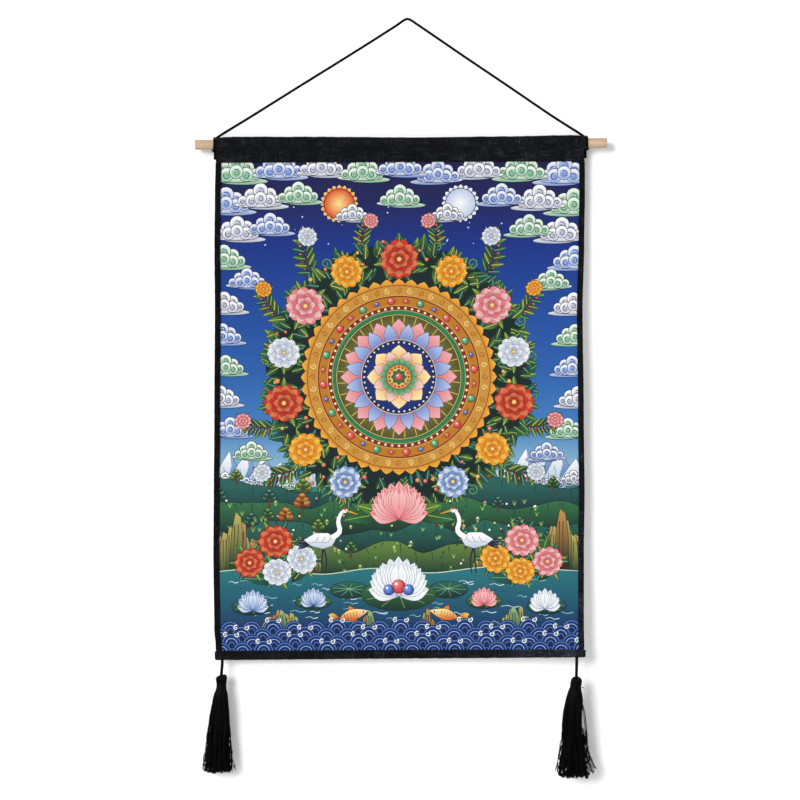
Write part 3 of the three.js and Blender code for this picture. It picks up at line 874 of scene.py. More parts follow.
def branch(x, y, turn, size, bend, tones):
    """A twig with leaves and berries in pairs and a blossom at its end."""
    spots = [polar(x, y, size * share, turn + bend * share) for share in np.linspace(0, 1, 7)]
    stroke(spots, 2.4, 1.0, "6a4a24", 0.3)
    for step in range(1, 6):
        for side in (-1, 1):
            way = turn + bend * step / 6 + side * 0.95
            leaf(*spots[step], way, 0.34 * size, 0.13 * size, LEAVES[step % 3])
            place = polar(*spots[step], 0.2 * size, way - side * 0.6)
            berry(*place, 2.0, "ffb890", ("d2352a", "e8862a")[step % 2], 1.8, count=8)
    for step in range(5):
        leaf(*spots[-1], turn + 1.26 * step, 0.28 * size, 0.12 * size, LEAVES[step % 3])
    peony(*spots[-1], 0.23 * size, tones, turn)


def peony(x, y, size, tones, turn=0.0):
    light, middle, deep = tones
    lay(scallop(x, y, 1.02 * size, 0.94 * size, 11, 0.12, turn), middle, 0.6)
    rings = ((1.0, 10, 0.56), (0.76, 8, 0.5), (0.52, 6, 0.44), (0.3, 5, 0.3))
    for ring, (reach, count, width) in enumerate(rings):
        for _, way in around(count, turn + 0.4 * ring):
            outline = petal(0, 0, way, reach * size, width * size, 1.5, 5) * (1, 0.92) + (x, y)
            fill = fade(deep, middle if ring % 2 else light, (x, y), polar(x, y, reach * size, way))
            lay(outline, fill, 0.35, deep)
    berry(x, y, 0.13 * size, "fff3b0", "d9962a", 0.14 * size, rim=0.3, ink=deep)


def lotus(x, y, size, tones, petals=9):
    """A lotus from the side, its foot at (x, y)."""
    light, middle, deep = tones
    for row, (spread, length) in enumerate(((1.34, 1.0), (0.9, 1.02), (0.42, 0.9))):
        count = petals - 2 * row
        for k in sorted(range(count), key=lambda k: -abs(k - (count - 1) / 2)):
            lean = spread * (2 * k / (count - 1) - 1)
            way = math.pi / 2 - lean
            reach = size * length * (1 - 0.16 * abs(lean))
            blade(x, y, way, reach, 0.42 * size, middle, light, 0.45, deep, 1.15, 6)
            lay(petal(*polar(x, y, 0.72 * reach, way), way, 0.27 * reach, 0.1008 * size, 0.9, 3), middle)
            ray(x, y, way, 0.3 * reach, 0.75 * reach, 0.5, 0.25, deep)


def pad(x, y, size, tones=LEAVES[1]):
    """A round water leaf seen at a slant."""
    dark, light, tip = tones
    lay(oval(x, y, size, 0.42 * size, 18), shaded(light, dark, x, y, 0.4 * size), 0.6, LEAF_INK)
    for rim in oval(x, y, 0.9 * size, 0.36 * size, 9):
        stroke([(x, y + 0.06 * size), rim], 0.6, 0.3, tip)


def jewel(x, y, radius, tones):
    berry(x, y, radius, *tones, 1.2 * radius, -0.3 * radius, 0.35 * radius, ink="4a2410", count=12)
    disc(x - 0.35 * radius, y + 0.4 * radius, 0.22 * radius, "ffffff", count=6)


def mandala(x, y, size):
    """A round ornament: gold rim with jewels, green hoop, rays, and rings of lotus petals."""

    def hoop(radius, fill, rim=0.0, ink=GILT, count=96):
        disc(x, y, radius * size, fill, rim, ink, count)

    def boss(radius, light, deep, reach, rim, ink, count):
        berry(x, y, radius * size, light, deep, reach * size, rim=rim, ink=ink, count=count)

    def petals(inner, outer, count, width, root, tip, ink, rim=0.5, turn=0.0):
        petal_ring(x, y, inner * size, outer * size, count, width * size, root, tip, ink, turn, rim)

    def pearls(reach, count, radius, fill="f4ead0"):
        for _, way in around(count):
            disc(*polar(x, y, reach * size, way), radius * size, fill, 0.25, "5a3410", 8)

    petals(0.93, 1.06, 48, 0.14, "c8501e", "f6c04a", "5a2410", 0.4)
    hoop(0.985, "cf9a44", 0.8, "6e3410")
    for step, way in around(48):
        scroll = ("a8501e", "fbe6a0")[step % 2]
        curl(*polar(x, y, 0.93 * size, way), 0.034 * size, 1.3, hand_of(step % 2), way, 1.0, scroll)
    hoop(0.88, "8a3018", 0.4)
    hoop(0.865, "c4842c")
    for step, way in around(32, math.pi / 32):
        for side in (-0.045, 0.045):
            curl(*polar(x, y, 0.815 * size, way + side), 2.6, 1.1, hand_of(-side), way, 0.8, "8a3c14")
        radius, gem = ((4.4, 0), (2.6, 1), (4.4, 2), (2.6, 0))[step % 4]
        jewel(*polar(x, y, 0.82 * size, way), radius, GEMS[gem])
    hoop(0.77, "8a3018", 0.4)
    pearls(0.745, 64, 0.014)
    hoop(0.72, "2f8a5a", 0.4)
    hoop(0.685, "1d5c48")
    boss(0.67, "c9c45a", "55522c", 0.7, 0.6, "f2dc8a", 96)
    for step, way in around(64):
        bend = 0.012 * hand_of(step % 2)
        spots = [polar(x, y, reach * size, way + at) for reach, at in ((0.4, 0), (0.52, bend), (0.66, 0))]
        stroke(spots, 0.5, 1.0, ("5a5628", "e2c766")[step % 2])
    petals(0.30, 0.63, 16, 0.22, "c8405a", "f6bcc0", "5c1420")
    petals(0.30, 0.58, 16, 0.15, "2c54b0", "c4d2f4", "1c2a66", 0.5, math.pi / 16)
    boss(0.40, "2c5fb4", "14286e", 0.4, 0.7, "f2dc8a", 64)
    pearls(0.375, 40, 0.011)
    petals(0.12, 0.345, 8, 0.2, "f0992a", "fff2c0", "7a3008")
    petals(0.10, 0.29, 8, 0.14, "d84a3a", "fbe4dc", "6a1410", 0.45, math.pi / 8)
    petals(0.10, 0.21, 16, 0.08, "1c5f44", "8fd0a0", "103020", 0.35, math.pi / 16)
    boss(0.13, "fff4b8", "d8901e", 0.14, 0.5, "7a3008", 32)
    pearls(0.105, 16, 0.010, "c8342a")
    petals(0.02, 0.085, 8, 0.05, "3f9a68", "1c5f44", "103020", 0.3)
    jewel(x, y, 0.04 * size, GEMS[0])


# Blossoms of the wreath: angle from its top, on both sides, size and colours
FLOWERS = (
    *((0.0, 24, REDS), (0.46, 20, ORANGES), (0.92, 24, PINKS), (1.36, 20, WHITES)),
    *((1.79, 24, REDS), (2.23, 21, ORANGES), (2.67, 20, BLUES)),
)
# Its rows of leaves: reach past its middle, how many, 1 where they point inwards, and lengths
WREATH_ROWS = (
    *((6, 64, 0, 20, 28), (-4, 58, 1, 18, 24), (10, 54, 0, 15, 21), (-8, 50, 1, 14, 18)),
    (2, 60, 0, 13, 18),
)


def wreath(x, y, radius):
    """A ring of dark leaves, berries and blossoms."""
    draw = random.Random(17)
    lay(scallop(x, y, radius + 20, radius + 20, 44, 0.05), "0c2a2a", 0.8)
    for step, way in around(22, math.pi / 22):
        hand = hand_of(step % 2)
        curl(*polar(x, y, radius + 22, way), 7.5, 1.4, hand, way + math.pi, 2.2, "5f9a6e", 0.5)
    for row, (reach, count, inwards, low, high) in enumerate(WREATH_ROWS):
        for _, even in around(count, math.pi * (row % 2) / count):
            way = even + draw.uniform(-0.02, 0.02)
            lean = way + inwards * math.pi + draw.uniform(-0.9, 0.9)
            length = draw.uniform(low, high)
            root = polar(x, y, radius + reach + draw.uniform(-4, 4), way)
            leaf(*root, lean, length, length * draw.uniform(0.34, 0.46), LEAVES[draw.choice((0, 0, 1, 2))])
    for _ in range(60):
        spot = polar(x, y, radius + draw.uniform(-20, 24), draw.uniform(0, 2 * math.pi))
        heart = draw.choice(("d2352a", "e8862a", "c82f5a", "e8c040"))
        berry(*spot, draw.uniform(1.8, 3.0), "ffb890", heart, 2.2, -0.6, 0.8)
    for _, way in around(14, math.pi / 14):
        turn = way + draw.uniform(-0.5, 0.5)
        spray(*polar(x, y, radius + 12, way), turn, 17, draw.choice(("d8452e", "e0607a")))
    for off, size, tones in FLOWERS:
        for hand in (-1, 1):
            way = math.pi / 2 + hand * off
            spot = polar(x, y, radius + 1, way)
            for step, lean in around(7, way):
                leaf(*polar(*spot, 0.5 * size, lean), lean, 0.85 * size, 0.34 * size, LEAVES[step % 3])
            peony(*spot, size, tones, way)


# The sky's colours at heights, down to the land
HORIZON = -84
SKY = (
    *((TOP, "1a1a50"), (248, "1c2464"), (196, "0f3890"), (120, "1e52a4")),
    *((40, "3069b4"), (-30, "4c88c6"), (HORIZON, "9cc4d6")),
)


def slab(lower, upper):
    return [(-SIDE, lower), (SIDE, lower), (SIDE, upper), (-SIDE, upper)]


def sky():
    for (upper, first), (lower, second) in zip(SKY, SKY[1:]):
        lay(slab(lower, upper), fade(first, second, (0, upper), (0, lower)))
    lay(slab(FOOT, HORIZON), fade("3f8f84", "1c5e58", (0, HORIZON), (0, -200)))
    draw = random.Random(11)
    for _ in range(46):
        disc(draw.uniform(-205, 205), draw.uniform(190, 292), draw.uniform(0.5, 1.1), "dfe8ff", count=6)


def peaks():
    draw = random.Random(41)
    x, base = -232.0, -100.0
    while x < 236:
        width, height = draw.uniform(20, 34), draw.uniform(26, 52)
        top = (x + draw.uniform(-3, 3), base + height)
        left = scaled(x, base, width, height, (-1, 0), (-0.55, 0.36), (-0.3, 0.7))
        right = scaled(x, base, width, height, (0.3, 0.62), (0.6, 0.4), (1, 0))
        shadow = scaled(x, base, width, height, (0.1, 0), (-0.04, 0.3), (0.1, 0.6))
        lay([*left, top, *right], fade("ffffff", "a9c4dc", top, (x, base)), 0.6, "2c4a80")
        lay([top, *right, *shadow], fade("9fbade", "4f7cb8", top, (x, base)))
        for share in (0.25, 0.5):
            start = (x - share * width, base + 0.75 * height * (1 - share))
            stroke(scaled(*start, 1, 1, (0, 0), (2, -9), (-1, -18)), 0.9, 0.3, "6f92c4")
        x += draw.uniform(17, 26)


# A tree's round crowns: places from its foot and radii, in its own size
TREE_CROWNS = (
    *((-0.3, 0.42, 0.27), (0.32, 0.44, 0.26), (-0.16, 0.68, 0.27), (0.18, 0.7, 0.26)),
    (0.0, 0.94, 0.25),
)


def tree(x, y, size, tones):
    dark, light, tip = tones
    stroke(scaled(x, y, size, size, (0, -0.2), (0.04, 0.5)), 0.16 * size, 0.08 * size, "6a4a2c", 0.4)
    for dx, dy, share in TREE_CROWNS:
        cx, cy, radius = x + dx * size, y + dy * size, share * size
        crown = scallop(cx, cy, radius, 0.8 * radius, 7, 0.2, dx, 3)
        lay(crown, shaded(light, dark, cx, cy, radius), 0.5, LEAF_INK)
        for turn in (0.8, 1.6, 2.4):
            ray(cx, cy, turn, 0.2 * radius, 0.7 * radius, 0.8, 0.3, tip)


# Rows of hills: level, rise and colours
HILLS = (
    (-108, 20, "2e6c66", "0e343c", "0a2430"),
    (-130, 18, "3c7850", "0e342e", "0a2422"),
    (-156, 16, "2c6e60", "0c343a", "0a2428"),
    (-180, 14, "6a8a48", "123f30", "0a2422"),
)


def hills():
    draw = random.Random(23)
    for level, rise, first, second, ink in HILLS:
        x, spots = -240.0, []
        while x < 246:
            spots.append((x, level + draw.uniform(-0.2, 1.0) * rise))
            x += draw.uniform(22, 40)
        ridge = bow(spots, 46)
        fill = fade(first, second, (0, level + rise * 0.6), (0, level - 26))
        lay([*ridge, (240, level - 60), (-240, level - 60)], fill, 0.8, ink)
        for px, py in ridge[2:-2:2]:
            if draw.random() < 0.34:
                tree(px, py - 3, draw.uniform(13, 20), LEAVES[draw.choice((0, 1, 2, 3))])
            else:
                drop, side = draw.uniform(8, 16), draw.uniform(-5, 5)
                stroke([(px, py - 1.5), *scaled(px, py, side, -drop, (0.3, 0.5), (1, 1))], 1.2, 0.3, second)
    for _ in range(260):
        x, y = draw.uniform(-214, 214), draw.uniform(-206, -118)
        size = draw.uniform(3, 6)
        colour = draw.choice(("123f34", "9cc870", "1c5a44"))
        for lean in (-0.5, 0, 0.5):
            stroke(scaled(x, y, size, size, (0, 0), (lean, 1)), 0.9, 0.3, colour)
        if draw.random() < 0.3:
            disc(x, y + size, 1.3, draw.choice(("f6e27a", "f2a0a8", "ffffff")), 0.3, count=7)


def crag(x, y, width, height, seed):
    """A steep rock of tall leaning slabs."""
    draw = random.Random(seed)
    for k, place in enumerate((-5, 5, -4, 4, -3, 3, -2, 2, -1, 1, 0)):
        cx = x + place / 5 * width * 0.5
        tall = height * (1 - 0.62 * abs(place) / 5) * draw.uniform(0.85, 1.1)
        half = width * draw.uniform(0.09, 0.13)
        lean = draw.uniform(-3, 3)
        first, second = draw.choice((("9fc08a", "173f38"), ("c89a5a", "3a2a1c"), ("c0b468", "22482c")))
        foot = scaled(cx, y, half, tall, (1, 0.6), (1.1, 0), (-1, 0))
        top = scaled(cx + lean, y, half, tall, (-0.8, 0.7), (-0.3, 1), (0.5, 0.94))
        lay(foot + top, fade(first, second, (cx, y + tall), (cx, y + 0.04 * tall * abs(k - 5))), 0.7)
        for dx in (-0.35, 0.2):
            crack = [(cx + dx * half + lean * 0.8, y + 0.82 * tall), (cx + dx * half, y + 0.3 * tall)]
            stroke(crack, 1.1, 0.4, "0e2a30")


def pond():
    spots = [(-SIDE, -204), (-150, -198), (-96, -207), (-30, -200), (40, -206), (110, -199), (SIDE, -205)]
    fill = fade("2a7c84", "0e2c6c", (0, -204), (0, -282))
    lay([*bow(spots, 40), (SIDE, FOOT), (-SIDE, FOOT)], fill, 1.0, "d8e6d0")
    draw = random.Random(61)
    for _ in range(90):
        x, y = draw.uniform(-214, 214), draw.uniform(-275, -212)
        ripple = scaled(x, y, draw.uniform(5, 12), 1.2, (-1, 0), (-0.3, 1), (0.3, -1), (1, 0))
        stroke(ripple, 0.4, 0.9, draw.choice(("9fd8dc", "e8f8fa", "0f3f7a")))


# The rings of a wave, from outside in, and the waves' radius
WAVE_RINGS = (
    *(("0a1846", 1.0), ("5a8cd0", 0.91), ("14347c", 0.83), ("a8c8e8", 0.6)),
    *(("102a6c", 0.54), ("5082c8", 0.3), ("0c1f54", 0.23)),
)
WAVE_RADIUS = 13.0


def waves():
    count = int(CANVAS_WIDTH / (2 * WAVE_RADIUS)) + 3
    for row in range(4):
        level = -HALF_HEIGHT + 29 - 8.6 * row
        for k in range(count):
            x = WAVE_RADIUS * (2 * k - row % 2) - HALF_WIDTH - 8
            tall = (k + row) % 3 == 0
            for code, share in WAVE_RINGS:
                crest = WAVE_RADIUS * (1.18 if tall else 1.0)
                lay(oval(x, level, WAVE_RADIUS * share, crest * share, 22), code)
            if tall:
                for side in (-1, 1):
                    top = (x + side * WAVE_RADIUS / 2, level + WAVE_RADIUS)
                    curl(*top, 3.4, 1.2, -side, 1.0, 1.5, "f4faff", 0.3)


TAIL_TONES = ("10121e", "3a4058", "7a84a8")
CRANE_BODY = (
    *((-0.5, 0.12), (-0.2, 0.3), (0.14, 0.3), (0.34, 0.14)),
    *((0.24, -0.04), (0.0, -0.12), (-0.3, -0.04)),
)


def crane(x, y, size, hand):
    """A white wading bird whose feet are at (x, y)."""

    def at(*spots):
        return scaled(x, y + 0.78 * size, hand * size, size, *spots)

    for foot in (-0.02, 0.1):
        stroke(at((0.0, 0.0), (foot, -0.4), (foot - 0.03, -0.78)), 0.05 * size, 0.03 * size, "2a2a34")
    back = math.pi if hand > 0 else 0.0
    for lean in (0.5, 0.25, 0.0):
        leaf(*at((-0.3, 0.08))[0], back + hand * lean, 0.42 * size, 0.13 * size, TAIL_TONES)
    lay(at(*CRANE_BODY), shaded("ffffff", "aebcd6", x, y + 0.8 * size, 0.2 * size), 0.5)
    for share in (-0.2, -0.02, 0.14):
        stroke(at((share - 0.16, 0.04), (share, 0.06), (share + 0.08, 0.2)), 0.5, 0.9, "7f90b4")
    neck = bow(at((0.22, 0.16), (0.44, 0.34), (0.4, 0.62), (0.5, 0.86), (0.58, 0.88)), 10)
    stroke(neck, 0.15 * size, 0.08 * size, "ffffff", 0.5)
    lay(oval(*at((0.57, 0.89))[0], 0.075 * size, 0.06 * size, 9), "ffffff", 0.4)
    lay(oval(*at((0.56, 0.945))[0], 0.05 * size, 0.03 * size, 7), "d8342a", 0.2)
    stroke(at((0.62, 0.89), (0.9, 0.8)), 0.06 * size, 0.02 * size, "e0a83a", 0.3)
    disc(*at((0.59, 0.9))[0], 0.014 * size, "101018", count=6)


def fish(x, y, size, hand, turn):
    """A golden fish that swims towards hand."""
    way = turn if hand > 0 else math.pi - turn
    tail = polar(x, y, -0.46 * size, way)
    for lean in (-0.55, 0.55, 0.0):
        blade(*tail, way + math.pi + lean, 0.4 * size, 0.2 * size, "c8501e", "fbd35c", 0.4, blunt=1.4)
    for side in (-1, 1):
        fin = polar(x, y, 0.05 * size, way)
        lay(petal(*fin, way + side * 1.9, 0.34 * size, 0.2 * size, 1.0), "e8862a", 0.4)
    body = petal(*tail, way, size, 0.36 * size, 0.85, 7)
    lay(body, shaded("fde9a0", "d9701e", x, y, 0.16 * size), 0.5)
    for step in range(5):
        for side in (-1, 0, 1):
            spot = polar(*polar(x, y, (0.1 * step - 0.3) * size, way), side * 0.07 * size, way + math.pi / 2)
            curl(*spot, 0.05 * size, 0.5, 1, way - math.pi / 2, 0.7, "a8401a")
    disc(*polar(x, y, 0.36 * size, way), 0.035 * size, "101018", 0.5, "ffffff", 8)


# A bush's blossoms: places, radii, and 1 for those in its main colours
BUSH_BLOSSOMS = ((-0.62, 0.5, 0.36, 0), (0.6, 0.42, 0.36, 1), (0.0, 0.92, 0.4, 1), (-0.04, 0.2, 0.34, 0))


def bush(x, y, size, hand, tones, other):
    """Blossoms over a fan of leaves."""
    draw = random.Random(int(abs(x)) + 3)
    for step in range(26):
        way = math.pi * (step + 0.5) / 26 + draw.uniform(-0.1, 0.1)
        length = size * draw.uniform(0.6, 1.0)
        root = (x + draw.uniform(-0.4, 0.4) * size, y + draw.uniform(-0.05, 0.35) * size)
        leaf(*root, way, length, 0.32 * length, LEAVES[draw.choice((0, 1, 2))])
    for dx, dy, share, main in BUSH_BLOSSOMS:
        spot = (x + hand * dx * size, y + dy * size)
        for step, way in around(6):
            leaf(*spot, way, share * 1.4 * size, 0.16 * size, LEAVES[step % 3])
        peony(*spot, share * size, tones if main else other, dx)


# Clouds on the left, which the right repeats a little lower, those in the middle, and mist on both sides
CLOUDS = (
    *((-200, 284, 30, "green"), (-148, 288, 28, "blue"), (-96, 290, 26, "white"), (-46, 284, 26, "green")),
    *((-212, 246, 29, "blue"), (-170, 252, 27, "white"), (-124, 256, 24, "green"), (-198, 212, 27, "white")),
    *((-158, 218, 24, "blue"), (-214, 178, 26, "green"), (-186, 152, 22, "blue"), (-214, 122, 24, "white")),
    *((-216, 84, 23, "blue"), (-212, 46, 22, "green"), (-218, 8, 23, "white"), (-206, -30, 22, "blue")),
    (-180, -58, 20, "green"),
)
SWAPPED = {"blue": "green", "green": "blue", "white": "white"}
MIDDLE_CLOUDS = ((0, 290, 26, "blue"), (-58, 232, 19, "white"), (58, 232, 19, "white"), (0, 252, 24, "green"))
MIST = ((212, -92, 15, "white"), (186, -97, 13, "blue"), (160, -93, 14, "white"), (134, -99, 12, "green"))
# Twigs out of the wreath: angle from its top, length, and their blossoms
BRANCHES = ((0.28, 40, PINKS), (0.7, 52, WHITES), (1.1, 44, ORANGES), (1.95, 44, PINKS), (2.3, 50, WHITES))
# Height of the ornament's middle, its radius, the wreath's, and the reach from which the twigs grow
ORNAMENT, ORNAMENT_RADIUS, WREATH_RADIUS, TWIG_REACH = 34, 113, 143, 158
# Height and radius of the sun and the moon, and how far they are from the middle
ORB_ASIDE, ORB_UP, ORB_RADIUS = 74, 246, 18


def paint_canvas():
    sky()
    peaks()
    for hand, colours in ((-1, ("ffe9a0", "e0571e")), (1, ("ffffff", "c3cfea"))):
        orb = (hand * ORB_ASIDE, ORB_UP)
        petal_ring(*orb, ORB_RADIUS - 1, ORB_RADIUS + 5, 20, 5.5, *colours[::-1], "3a2a3a")
        berry(*orb, ORB_RADIUS, *colours, ORB_RADIUS, rim=0.8, count=32)
    for x, y, size, tint in CLOUDS:
        cloud(x, y, size, tint)
        cloud(-x, y - 3, size, SWAPPED[tint], -1)
    for x, y, size, tint in MIDDLE_CLOUDS:
        cloud(x, y, size, tint, -1 if x > 0 else 1)
    for x, y, size, tint in MIST:
        for hand in (-1, 1):
            cloud(hand * x, y, size, tint, hand)
    hills()
    for hand in (-1, 1):
        crag(hand * 124, -206, 52, 44, 7 + hand)
        crag(hand * 198, -208, 64, 74, 3 + hand)
    pond()
    for turn, size, tones in BRANCHES:
        for hand in (-1, 1):
            way = math.pi / 2 - hand * turn
            branch(*polar(0, ORNAMENT, TWIG_REACH, way), way, size, 0.5 * hand, tones)
    for hand in (-1, 1):
        crag(hand * 142, -286, 50, 42, 31 + hand)
        crag(hand * 34, -290, 40, 38, 35 + hand)
    wreath(0, ORNAMENT, WREATH_RADIUS)
    mandala(0, ORNAMENT, ORNAMENT_RADIUS)
    for hand in (-1, 1):
        leaf(hand * 18, -132, math.pi / 2 - hand * 1.75, 52, 18)
        leaf(hand * 10, -134, math.pi / 2 - hand * 1.3, 44, 17, LEAVES[2])
    lotus(0, -140, 46, PINKS, 11)
    for hand, *blossoms, far, near in ((-1, REDS, WHITES, BLUES, BLUES), (1, PINKS, ORANGES, WHITES, PINKS)):
        bush(hand * 150, -214, 52, hand, *blossoms)
        crane(hand * 92, -206, 46, -hand)
        pad(hand * 60, -226, 24)
        pad(hand * 104, -240, 22, LEAVES[0])
        pad(hand * 180, -246, 24)
        lotus(hand * 178, -250, 25, far)
        lotus(hand * 104, -244, 21, near)
    pad(0, -232, 46, LEAVES[0])
    lotus(0, -234, 48, WHITES, 11)
    jewel(0, -222, 8.5, GEMS[0])
    for hand in (-1, 1):
        jewel(hand * 12, -226, 6.5, GEMS[1])
        fish(hand * 56, -256, 36, -hand, 0.25)
    waves()


def grid(pitch):
    """Points inside the canvas at a pitch, none within half of it of an edge."""
    columns, rows = (np.arange(-half + pitch, half - pitch / 2, pitch) for half in (HALF_WIDTH, HALF_HEIGHT))
    return [(float(x), float(y)) for x in columns for y in rows]


def triangulated(points, edges, faces, mode, accuracy):
    """Points, triangles, and the first faces that each triangle lies in."""
    cut = delaunay_2d_cdt([Vector(p) for p in points], edges, faces, mode, accuracy, bool(faces))
    return np.array([tuple(v) for v in cut[0]]), cut[2], cut[5]


def flattened():
    """The painted shapes as triangles that don't overlap: points, faces, and the top shape of each."""
    points = scaled(0, 0, HALF_WIDTH, HALF_HEIGHT, (-1, -1), (1, -1), (1, 1), (-1, 1))
    faces = [[0, 1, 2, 3]]
    for outline, _ in paint:
        faces.append(list(range(len(points), len(points) + len(outline))))
        points += outline.tolist()
    spots, pieces, sources = triangulated(points, [], faces, 1, 1e-4)
    kept = [(face, max(source)) for face, source in zip(pieces, sources) if 0 in source]
    faces, owners = (np.array(column) for column in zip(*kept))

    places, edges = straightened(spots, seams(faces, owners))
    places = places.tolist() + grid(GRID)
    places += [(x, y) for x, y in glow_centres if abs(x) < HALF_WIDTH - 1 and abs(y) < HALF_HEIGHT - 1]
    new_spots, new_faces, _ = triangulated(places, edges, [], 0, 1e-4)
    new_faces = np.array(new_faces)
    flat_tree = BVHTree.FromPolygons([(x, y, 0) for x, y in spots.tolist()], faces.tolist())
    middles = new_spots[new_faces].mean(axis=1).tolist()
    found = [flat_tree.find_nearest((x, y, 0))[2] for x, y in middles]
    return new_spots, new_faces, owners[found]


def seams(faces, owners):
    """The edges where the top shape changes or the canvas ends."""
    pairs = np.sort(np.concatenate([faces[:, [0, 1]], faces[:, [1, 2]], faces[:, [2, 0]]]), axis=1)
    owner = np.tile(owners, 3)
    order = np.lexsort((pairs[:, 1], pairs[:, 0]))
    pairs, owner = pairs[order], owner[order]
    twin = (pairs[:-1] == pairs[1:]).all(axis=1)
    keep = np.ones(len(pairs), bool)
    keep[1:][twin] = False
    keep[:-1][twin & (owner[:-1] == owner[1:])] = False
    return pairs[keep]


def straightened(spots, edges):
    """The points and edges left once points on straight stretches are dropped."""
    near = {}
    for a, b in edges.tolist():
        near.setdefault(a, set()).add(b)
        near.setdefault(b, set()).add(a)
    for spot in list(near):
        if len(near[spot]) != 2:
            continue
        a, b = near[spot]
        way = spots[b] - spots[a]
        off = spots[spot] - spots[a]
        length = float(np.hypot(*way))
        if b in near[a] or length < 1e-6 or abs(way[0] * off[1] - way[1] * off[0]) / length > STRAIGHT:
            continue
        del near[spot]
        for one, two in ((a, b), (b, a)):
            near[one].discard(spot)
            near[one].add(two)
    used = sorted(near)
    number = {spot: k for k, spot in enumerate(used)}
    return spots[used], [(number[a], number[b]) for a in used for b in near[a] if a < b]


def border_loop(spots):
    """Indices of the points on the canvas's border, anticlockwise."""
    on_border = np.abs(spots) > np.array([HALF_WIDTH, HALF_HEIGHT]) - 1e-3
    loop = np.where(on_border.any(axis=1))[0]
    return loop[np.argsort(np.arctan2(spots[loop, 1], spots[loop, 0]))].tolist()


def add_print():
    """The painted front, a plain back, and the rim between them."""
    paint_canvas()
    spots, faces, owners = flattened()
    colours = np.zeros((len(faces), 3, 3))
    for owner in set(owners.tolist()) - {0}:
        mine = np.flatnonzero(owners == owner)
        colours[mine] = paint[owner - 1][1](spots[faces[mine]].reshape(-1, 2)).reshape(-1, 3, 3)
    used, numbers = np.unique(faces, return_inverse=True)
    spots, front_faces = spots[used], numbers.reshape(faces.shape).tolist()
    loop = border_loop(spots)
    count, first = len(loop), len(spots)
    rear = [tuple(spots[i]) for i in loop] + grid(REAR_GRID)
    rear_spots, rear_faces, _ = triangulated(rear, [], [list(range(count))], 1, 1e-6)
    rear_faces = [[first + i for i in face][::-1] for face in rear_faces]
    rim = [[loop[k - 1], first + (k - 1) % count, first + k, loop[k]] for k in range(count)]
    flat = np.vstack([spots, rear_spots])
    back = np.repeat([-CLOTH / 2, CLOTH / 2], [first, len(rear_spots)])
    places = cloth_points(flat[:, 0] + CLOTH_WIDTH / 2, (CANVAS_TOP + CANVAS_FOOT) / 2 - flat[:, 1], back)
    canvas = add_mesh("print_looks", places, front_faces + rear_faces + rim, "printed_canvas", "print_panel")
    plain = np.tile(tone("e6e6e0"), (sum(len(face) for face in rear_faces + rim), 1))
    values = np.vstack([colours.reshape(-1, 3), plain])
    layer = canvas.data.color_attributes.new("paint", "FLOAT_COLOR", "CORNER")
    layer.data.foreach_set("color", np.hstack([values, np.ones((len(values), 1))]).ravel())


add_print()
add_binding("left")
add_binding("right")
add_band()


# Tassels: middle from the cord and width at drops below the head's top. The crown is the thread's
# turn over the head's top, as distances from its middle and drops; its slant lowers the left side.
# A wisp is a lock that stands away: its places to the right of the cord and drops, how many strands,
# how far they spread, and how far back it hangs.

LEFT_TASSEL = {
    "across": 7.6,
    "cord": 17.6,
    "lean": -1.2,
    "length": 121.0,
    "rows": (
        *((0, 0.0, 4.0), (1.4, 0.0, 10.0), (3, 0.1, 12.7), (8, -0.1, 11.7), (15, 0.2, 10.2)),
        *((20, -0.5, 14.3), (28, -1.2, 17.6), (40, -1.4, 20.3), (58, -2.0, 23.4)),
        *((81, -3.1, 26.4), (101, -4.4, 28.4), (121, -4.4, 32.4)),
    ),
    "neck": 15.5,
    "crown": ((0.9, 2.2), (2.4, 0.1), (4.4, -0.7), (6.0, 0.5), (6.8, 2.8)),
    "slant": 1.1,
    "raggedness": 3.2,
    "seed": 7,
    "wisps": (
        (((-9.0, 26), (-13.0, 45), (-17.0, 74), (-19.0, 90), (-21.6, 107), (-23.4, 116)), 6, 0.8, 0.0),
        (((-10.6, 40), (-15.4, 66), (-17.8, 90), (-21.4, 118)), 7, 1.2, 1.0),
        (((-10.4, 46), (-14.2, 70), (-16.6, 94), (-19.0, 119)), 7, 1.1, -1.0),
        (((8.2, 44), (10.4, 70), (11.4, 94), (13.0, 118)), 6, 0.8, 1.0),
        (((8.6, 56), (11.2, 82), (13.0, 104), (16.6, 116)), 6, 0.9, -1.0),
        (((8.0, 66), (10.0, 90), (11.6, 120)), 6, 0.9, 0.6),
    ),
}
